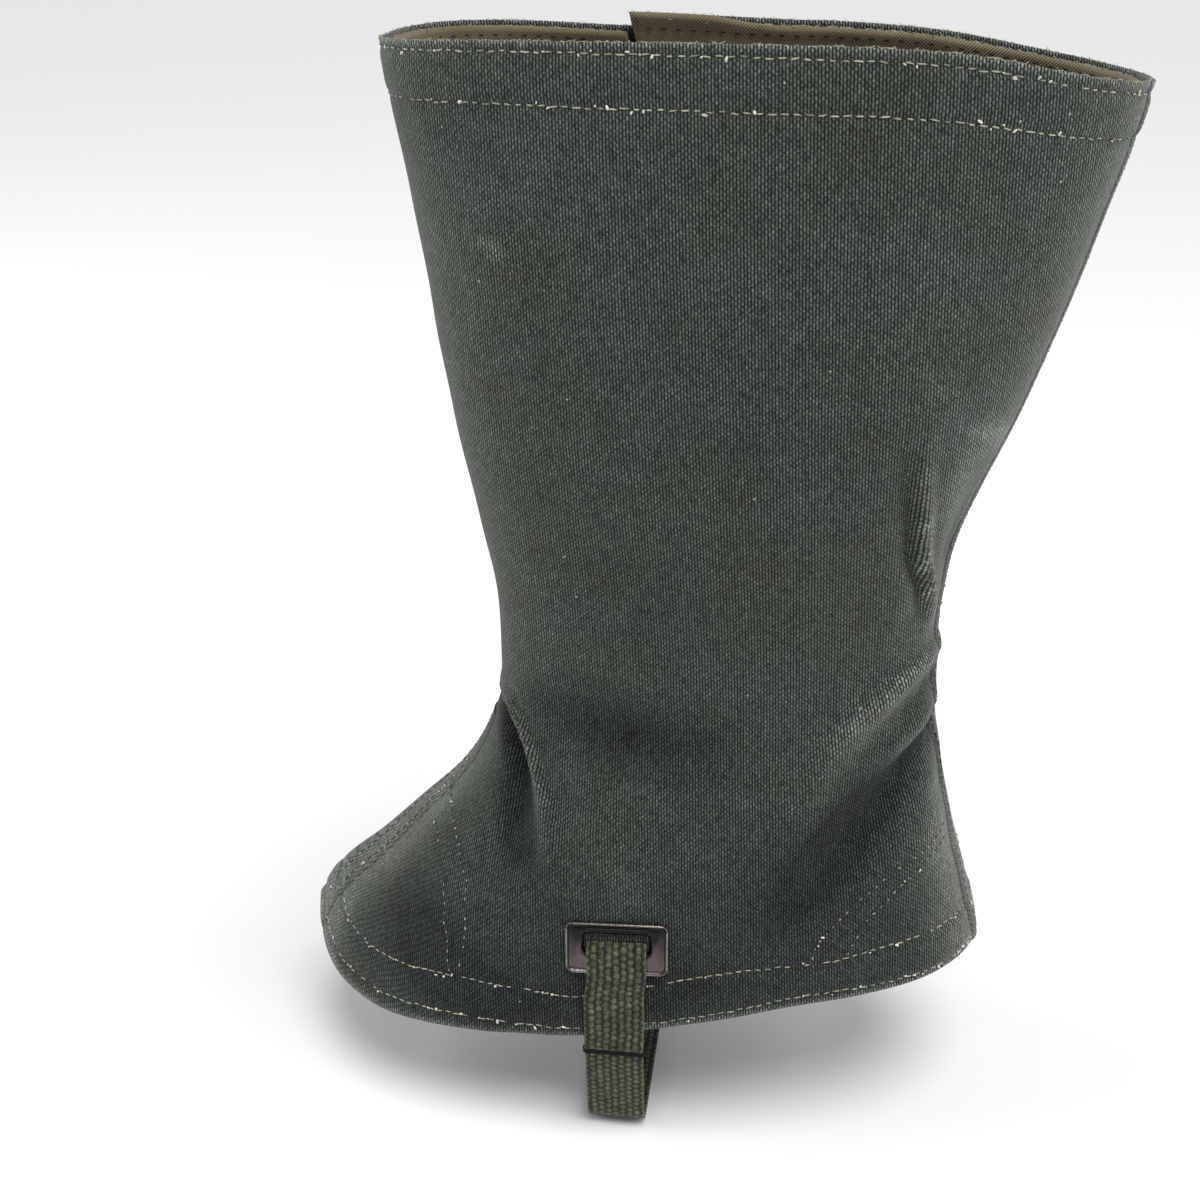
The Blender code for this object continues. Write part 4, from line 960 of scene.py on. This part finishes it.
def fray(ways, level, out, panel, count, inset=None, length=(0.5, 1.3)):
    ways = np.sort(draw.uniform(ways[0], ways[1], count))
    levels = np.full(count, float(level))
    depth = out if inset is None else out - inset(ways, levels)
    points, normals = cloth(ways, levels, depth + draw.uniform(-0.45, 0.45, count), panel)
    ahead, _ = cloth(ways + 0.004, levels, depth, panel)
    for place, direction, normal in zip(points, ahead - points, normals):
        size = (draw.uniform(*length), 0.10, 0.10)
        fibres.append(lay(place, direction, normal, size, draw.uniform(-0.1, 0.2), draw.normal(0, 0.3),
                          draw.uniform(-0.1, 0.25)))


fray((-0.99, 0.0), TOP, 0.5 * CANVAS, "outer_front", 420)
fray((0.0, 0.53), TOP, 0.5 * CANVAS, "outer_front", 200)
fray((0.34, 0.99), TOP, 0.5 * CANVAS, "outer_rear", 260, tuck)
fray((-0.98, 0.33), TAPE_TOP, -0.5, "outer_front", 420)
fray((0.35, 0.98), TAPE_TOP, -0.5, "outer_rear", 220, tuck)
unit = bmesh.new()
bmesh.ops.create_cone(unit, cap_ends=True, segments=4, radius1=1.0, radius2=0.5, depth=2.0)
bmesh.ops.rotate(unit, verts=unit.verts, matrix=Matrix.Rotation(0.5 * math.pi, 3, "Y"))
fray_finish = thread_finish("frayed_fibre", (0.50, 0.49, 0.38), (0.28, 0.28, 0.21))
frayed = repeated("frayed_fibres", unit, fibres, fray_finish)
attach(frayed, "root")

# ---- Slot plate ----
# A frame pressed from blackened sheet steel, with a rolled rim and a slot that the strap comes out of.
# Its field dishes in towards the slot.  Its rim is rubbed bare and carries a painted highlight, and its
# lower part is painted paler as a painted reflection of the pale floor.
PLATE_CORNER, PLATE_STAND, LOWER_GLARE = 2.6, 0.5, 0.36
# rings of the pressing, from the outline in and then from the field into the slot: distance, height
PRESSING = ((0, 0), (0, 0.55), (0.15, 1), (0.45, 1.25), (0.75, 1.15), (1.05, 0.62), (1.35, 0.42),
            (2, 0.52))
SLOT_PRESSING = ((2, 0.95), (1.1, 0.86), (0.45, 0.5), (0.05, -0.05), (0, -0.4), (0.3, -0.45))


def rounded(length, height, corner, up, level, steps=6):
    """Outline of a rounded rectangle, as points of a frame whose Y is the way that it faces."""
    points = []
    for quarter, (sx, sz) in enumerate(((1, 1), (-1, 1), (-1, -1), (1, -1))):
        for k in range(steps + 1):
            turn = math.radians(90.0 * quarter + 90.0 * k / steps)
            points.append(Vector((sx * (0.5 * length - corner) + corner * math.cos(turn), level,
                                  sz * (0.5 * height - corner) + corner * math.sin(turn) + up)))
    return points


def joined_rings(bm, rings):
    """A closed skin through rings of points, with the last ring joined to the first."""
    loops = []
    for ring in rings:
        verts = [bm.verts.new(point * MM) for point in ring]
        loops.append([bm.edges.new((verts[k - 1], verts[k])) for k in range(len(verts))])
    for k in range(len(loops)):
        bmesh.ops.bridge_loops(bm, edges=loops[k - 1] + loops[k])
    bmesh.ops.recalc_face_normals(bm, faces=bm.faces)
    for face in bm.faces:
        face.smooth = True


bm = bmesh.new()
rings = [rounded(PLATE_LENGTH - 2 * inset, PLATE_HEIGHT - 2 * inset, max(PLATE_CORNER - inset, 0.8), 0.0,
                 height) for inset, height in PRESSING]
rings += [rounded(SLOT_LENGTH + 2 * out, SLOT_HEIGHT + 2 * out, 1.4 + out, SLOT_ABOVE_MIDDLE, height)
          for out, height in SLOT_PRESSING]
rings.append(rounded(PLATE_LENGTH - 2.0, PLATE_HEIGHT - 2.0, PLATE_CORNER - 1.0, 0.0, -0.02))
joined_rings(bm, rings)
blacking_and_glare = bm.verts.layers.float.new("blacking_and_glare")
# 1 is black; 0 on the rim (rubbed bare, painted highlight); lower down it falls as a painted reflection
for vert in bm.verts:
    rim = max(abs(vert.co.x) - 0.5 * PLATE_LENGTH * MM, abs(vert.co.z) - 0.5 * PLATE_HEIGHT * MM) > -0.5 * MM
    vert[blacking_and_glare] = 0.0 if rim else 1.0 - float(soft_step((2.6 - vert.co.z / MM) / 4.0)) * LOWER_GLARE
plate_frame = Matrix((plate_across, plate_out, plate_rise)).transposed().to_4x4()
lift = plate_centre + plate_out * PLATE_STAND
bmesh.ops.transform(bm, matrix=Matrix.Translation(lift * MM) @ plate_frame, verts=bm.verts)
bmesh.ops.recalc_face_normals(bm, faces=bm.faces)

steel, tree, shader = new_finish("blackened_steel", {"Metallic": 1.0})
place = place_on(tree)
marks = use_effect(tree, age, {"Place": place, "Stain Size": 0.006})
dark_share = node(tree, "ShaderNodeAttribute", attribute_name="blacking_and_glare").outputs["Fac"]
brown = blend(tree, marks["Stain"], (0.24, 0.205, 0.185, 1.0), (0.36, 0.315, 0.285, 1.0))
brown = blend(tree, dark_share, brown, (0.022, 0.021, 0.024, 1.0))
fill(tree, shader, {
    "Base Color": blend(tree, times(tree, marks["Blotch"], 0.3), brown, (0.03, 0.027, 0.026, 1.0)),
    "Roughness": remap(tree, noise(tree, place, 900.0, 4.0), 0.3, 0.7, 0.20, 0.42),
    "Normal": bump(tree, noise(tree, place, 1500.0, 3.0), 0.25, 0.0002)})
slot_plate = add_piece("pressed_plate", bm, steel)
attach(slot_plate, "root")
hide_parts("slot_plate")

# ---- Instep strap ----
# Coarse olive cotton webbing, three quarters of an inch wide.  It is sewn inside the outer hem, passes
# under the boot's waist, comes out through the plate's slot and is folded down over the plate.
STRAP_WIDTH, STRAP, STRAP_GAP = 18.4, 1.5, 0.6    # its section, and its clearance from the canvas
# its underside, where it turns and bends under the sole, its folded end and its sewn end
STRAP_BOTTOM, STRAP_HALF_SPAN, STRAP_MIDDLE, STRAP_CORNER = -169.5, 47.0, -3.0, 9.0
STRAP_END_BELOW_HEM, STRAP_SEWN_FROM = 5.0, -99.0
PLATE, GAP = 1.0, 0.3             # thickness of the plate, and clearance from it
RIB_PITCH, PICK_PITCH = 2.3, 1.15
strap_half = 0.5 * STRAP
hem_point = cloth(way_at(STRAP_X, HEM), np.full(1, HEM))[0][0]
inside = -STRAP_GAP - strap_half
over_cloth = CANVAS + STRAP_GAP + strap_half
over_plate = CANVAS + PLATE_STAND + PLATE + GAP + strap_half
bar = plate_centre + plate_rise * (SLOT_ABOVE_MIDDLE - 0.5 * SLOT_HEIGHT)
strap_across = np.linspace(0.5, -0.5, 37) * STRAP_WIDTH


def on_wall(level, out, side=1.0):
    ways = side * way_at(STRAP_X + strap_across, level)
    return cloth(ways, np.full(len(ways), float(level)), out)[0]


def at_plate(out, up):
    middle = bar + plate_out * (out - CANVAS) + plate_rise * up
    return np.array([middle + plate_across * dx for dx in strap_across])


def hanging(y, z):
    return np.stack((STRAP_X + strap_across, np.full(len(strap_across), y), np.full(len(strap_across), z)),
                    axis=1)


bottom = STRAP_BOTTOM + strap_half
quarter = [math.radians(22.5 * k) for k in range(5)]


def under_sole(side, t):
    return hanging(STRAP_MIDDLE + side * (STRAP_HALF_SPAN - STRAP_CORNER * (1 - math.cos(t))),
                   bottom + STRAP_CORNER * (1 - math.sin(t)))


fold = 0.5 * (over_plate - inside)
route = [on_wall(level, inside, -1.0) for level in np.linspace(STRAP_SEWN_FROM, HEM + 0.5, 4)]
route += [hanging(STRAP_MIDDLE + STRAP_HALF_SPAN, bottom + 2.4 * STRAP_CORNER)]
route += [under_sole(1, t) for t in quarter]
route += [hanging(STRAP_MIDDLE + reach, bottom) for reach in (34.0, 26.0, 0.0, -26.0, -34.0)]
route += [under_sole(-1, t) for t in reversed(quarter)]
route += [hanging(hem_point[1] + dy, hem_point[2] + dz)
          for dy, dz in ((1.0, -16.0), (-0.3, -7.0), (0.2, -3.0))]
route += [on_wall(level, inside) for level in (HEM + 1.5, -117.0, -108.0)]
route += [at_plate(inside, -2.0)]
route += [at_plate(inside + fold * (1 - math.cos(t)), fold * math.sin(t))
          for t in (math.radians(22.5 * k) for k in range(9))]
route += [at_plate(over_plate, -0.5 * PLATE_HEIGHT), on_wall(-110.5, over_cloth + 0.9)]
route += [on_wall(-116.5, over_cloth + 0.2), on_wall(HEM + 0.5, over_cloth)]
route += [hanging(hem_point[1] - over_cloth - 0.1, hem_point[2] - STRAP_END_BELOW_HEM)]
route = np.array(route)

# rows at equal steps along a smooth curve through the route
ROW_STEP = 0.9
run = lengths_along(route[:, len(strap_across) // 2])
slopes = np.gradient(route, run, axis=0)
at = np.linspace(0.0, run[-1], round(run[-1] / ROW_STEP) + 1)
i = np.clip(np.searchsorted(run, at, side="right") - 1, 0, len(run) - 2)
step = run[i + 1] - run[i]
rows = cubic(((at - run[i]) / step)[:, None, None], step[:, None, None], route[i], route[i + 1],
             slopes[i], slopes[i + 1])
strap_map = np.meshgrid((strap_across + 0.5 * STRAP_WIDTH) * MM, at * MM)
bm = cloth_mesh(rows, strap_map, np.zeros(strap_map[0].shape))
webbing = fabric("webbing", gap=(0.010, 0.012, 0.009), crown=(0.096, 0.109, 0.067), worn_and_light=(0.30, 0.31, 0.22),
                 stained=(0.80, 0.72, 0.56), pitches=(RIB_PITCH, PICK_PITCH), wander=0.40, columns=0.21,
                 relief=(0.9, 0.0009), sheen=0.22)
strap = add_piece("strap_webbing", bm, webbing, STRAP - 0.1, 0.0)
strap.modifiers["wall"].use_even_offset = True
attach(strap, "root")
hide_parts("instep_strap")

# ---- Strap keeper ----
# Three turns of black waxed thread, wound tight round the strap just below its folded end.  Each turn
# leans its own way.
TURN_TILTS, TURN_STEP, KEEPER_THREAD, KEEPER_CORNER = (0.15, -0.2, 0.1), 0.62, 0.36, 0.9
keeper_level = hem_point[2] - STRAP_END_BELOW_HEM - GAP - 2.0
keeper_clear = 0.12 + KEEPER_THREAD
standing = hem_point[1] - 0.3
waxed, tree, shader = new_finish("waxed_thread", {"Roughness": 0.5, "Specular IOR Level": 0.12})
place = place_on(tree)
fill(tree, shader, {
    "Base Color": blend(tree, noise(tree, place, 700.0), (0.001, 0.001, 0.002, 1.0),
                        (0.008, 0.008, 0.010, 1.0)),
    "Normal": bump(tree, noise(tree, place, 1900.0), 0.6, 0.0003)})
bm = bmesh.new()
outline = rounded(STRAP_WIDTH + 2 * keeper_clear, STRAP + 2 * keeper_clear, KEEPER_CORNER, 0.0, 0.0, 3)
for turn, tilt in enumerate(TURN_TILTS):
    rings = []
    for point in outline:
        centre = Vector((STRAP_X + point.x, standing + point.z,
                         keeper_level + (turn - 1) * TURN_STEP + tilt * point.x / STRAP_WIDTH))
        side = Vector((point.x, point.z, 0.0)).normalized()
        rings.append([centre + (side * math.cos(a) + Vector((0, 0, 1)) * math.sin(a)) * KEEPER_THREAD
                      for a in (math.tau * k / 8 for k in range(8))])
    joined_rings(bm, rings)
keeper = add_piece("keeper_thread", bm, waxed)
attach(keeper, "root")
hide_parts("strap_keeper")

# ---- Closure ----
# Eight eyelets of blackened steel, set through the front panel's edge with a rolled flange, and behind
# them eight lacing hooks riveted to the rear panel.
HOOK_FROM_EDGE, HOOK_STRIP, HOOK_LIFT, RIVET_RADIUS, RIVET_RISE = 17.0, 0.8, CANVAS + 0.25, 1.7, 0.8
# an eyelet's half section as radius and height, and a hook's strip as its route and its widths
EYELET = ((2.2, 0.05), (2.6, 0.05), (2.6, 1.35), (4.3, 1.3), (4.5, 1.42), (4.42, 1.72), (4.1, 1.98),
          (3.5, 2.18), (2.9, 2.2), (2.4, 2.02), (2.2, 1.7))
HOOK_ROUTE = ((3.6, 0), (2, 0), (0, 0), (-2.2, 0.05), (-3.2, 0.35), (-3.8, 1), (-4, 1.8),
              (-3.8, 2.7), (-3.2, 3.35), (-2.2, 3.68), (-0.8, 3.72), (0.8, 3.66), (2.2, 3.55), (3.3, 3.55),
              (4, 3.72), (4.5, 4))
HOOK_WIDTHS = (3.6, 6.2, 7.0, 5.6, 4.2) + (3.6,) * 8 + (3.5, 3.2, 2.0)
bm = bmesh.new()
verts = [bm.verts.new((radius * MM, 0.0, height * MM)) for radius, height in EYELET]
edges = [bm.edges.new((verts[k - 1], verts[k])) for k in range(len(verts))]
bmesh.ops.spin(bm, geom=verts + edges, cent=(0, 0, 0), axis=(0, 0, 1), angle=math.tau, steps=28,
               use_merge=True)
bmesh.ops.remove_doubles(bm, verts=bm.verts, dist=1e-6)
bmesh.ops.recalc_face_normals(bm, faces=bm.faces)
eyelets = repeated("closure_eyelets", bm, eyelet_frames, steel)
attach(eyelets, "root")
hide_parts(*(f"eyelet_{k + 1}" for k in range(8)))

bm = bmesh.new()
bmesh.ops.create_grid(bm, x_segments=len(HOOK_ROUTE) - 1, y_segments=4, size=0.5)
for vert in bm.verts:
    station = round((vert.co.x + 0.5) * (len(HOOK_ROUTE) - 1))
    x, z = HOOK_ROUTE[station]
    vert.co = Vector((x, HOOK_WIDTHS[station] * vert.co.y, z)) * MM
bmesh.ops.solidify(bm, geom=bm.faces[:], thickness=-HOOK_STRIP * MM)
bmesh.ops.recalc_face_normals(bm, faces=bm.faces)
rivet = bmesh.ops.create_uvsphere(bm, u_segments=12, v_segments=6, radius=1.0)["verts"]
bmesh.ops.transform(bm, verts=rivet, matrix=Matrix.Translation((0.6 * MM, 0, 0.7 * MM))
                    @ Matrix.Diagonal((RIVET_RADIUS * MM, RIVET_RADIUS * MM, RIVET_RISE * MM, 1.0)))
hooks = repeated("closure_hooks", bm, [eyelet_frame(level, HOOK_FROM_EDGE, HOOK_LIFT, "outer_rear")
                                       for level in CLOSURE_LEVELS], steel)
edge_round = hooks.modifiers.new("edge", "BEVEL")
edge_round.width = 0.2 * MM
edge_round.segments = 2
edge_round.limit_method = "ANGLE"
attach(hooks, "root")
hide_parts(*(f"hook_{k + 1}" for k in range(8)))
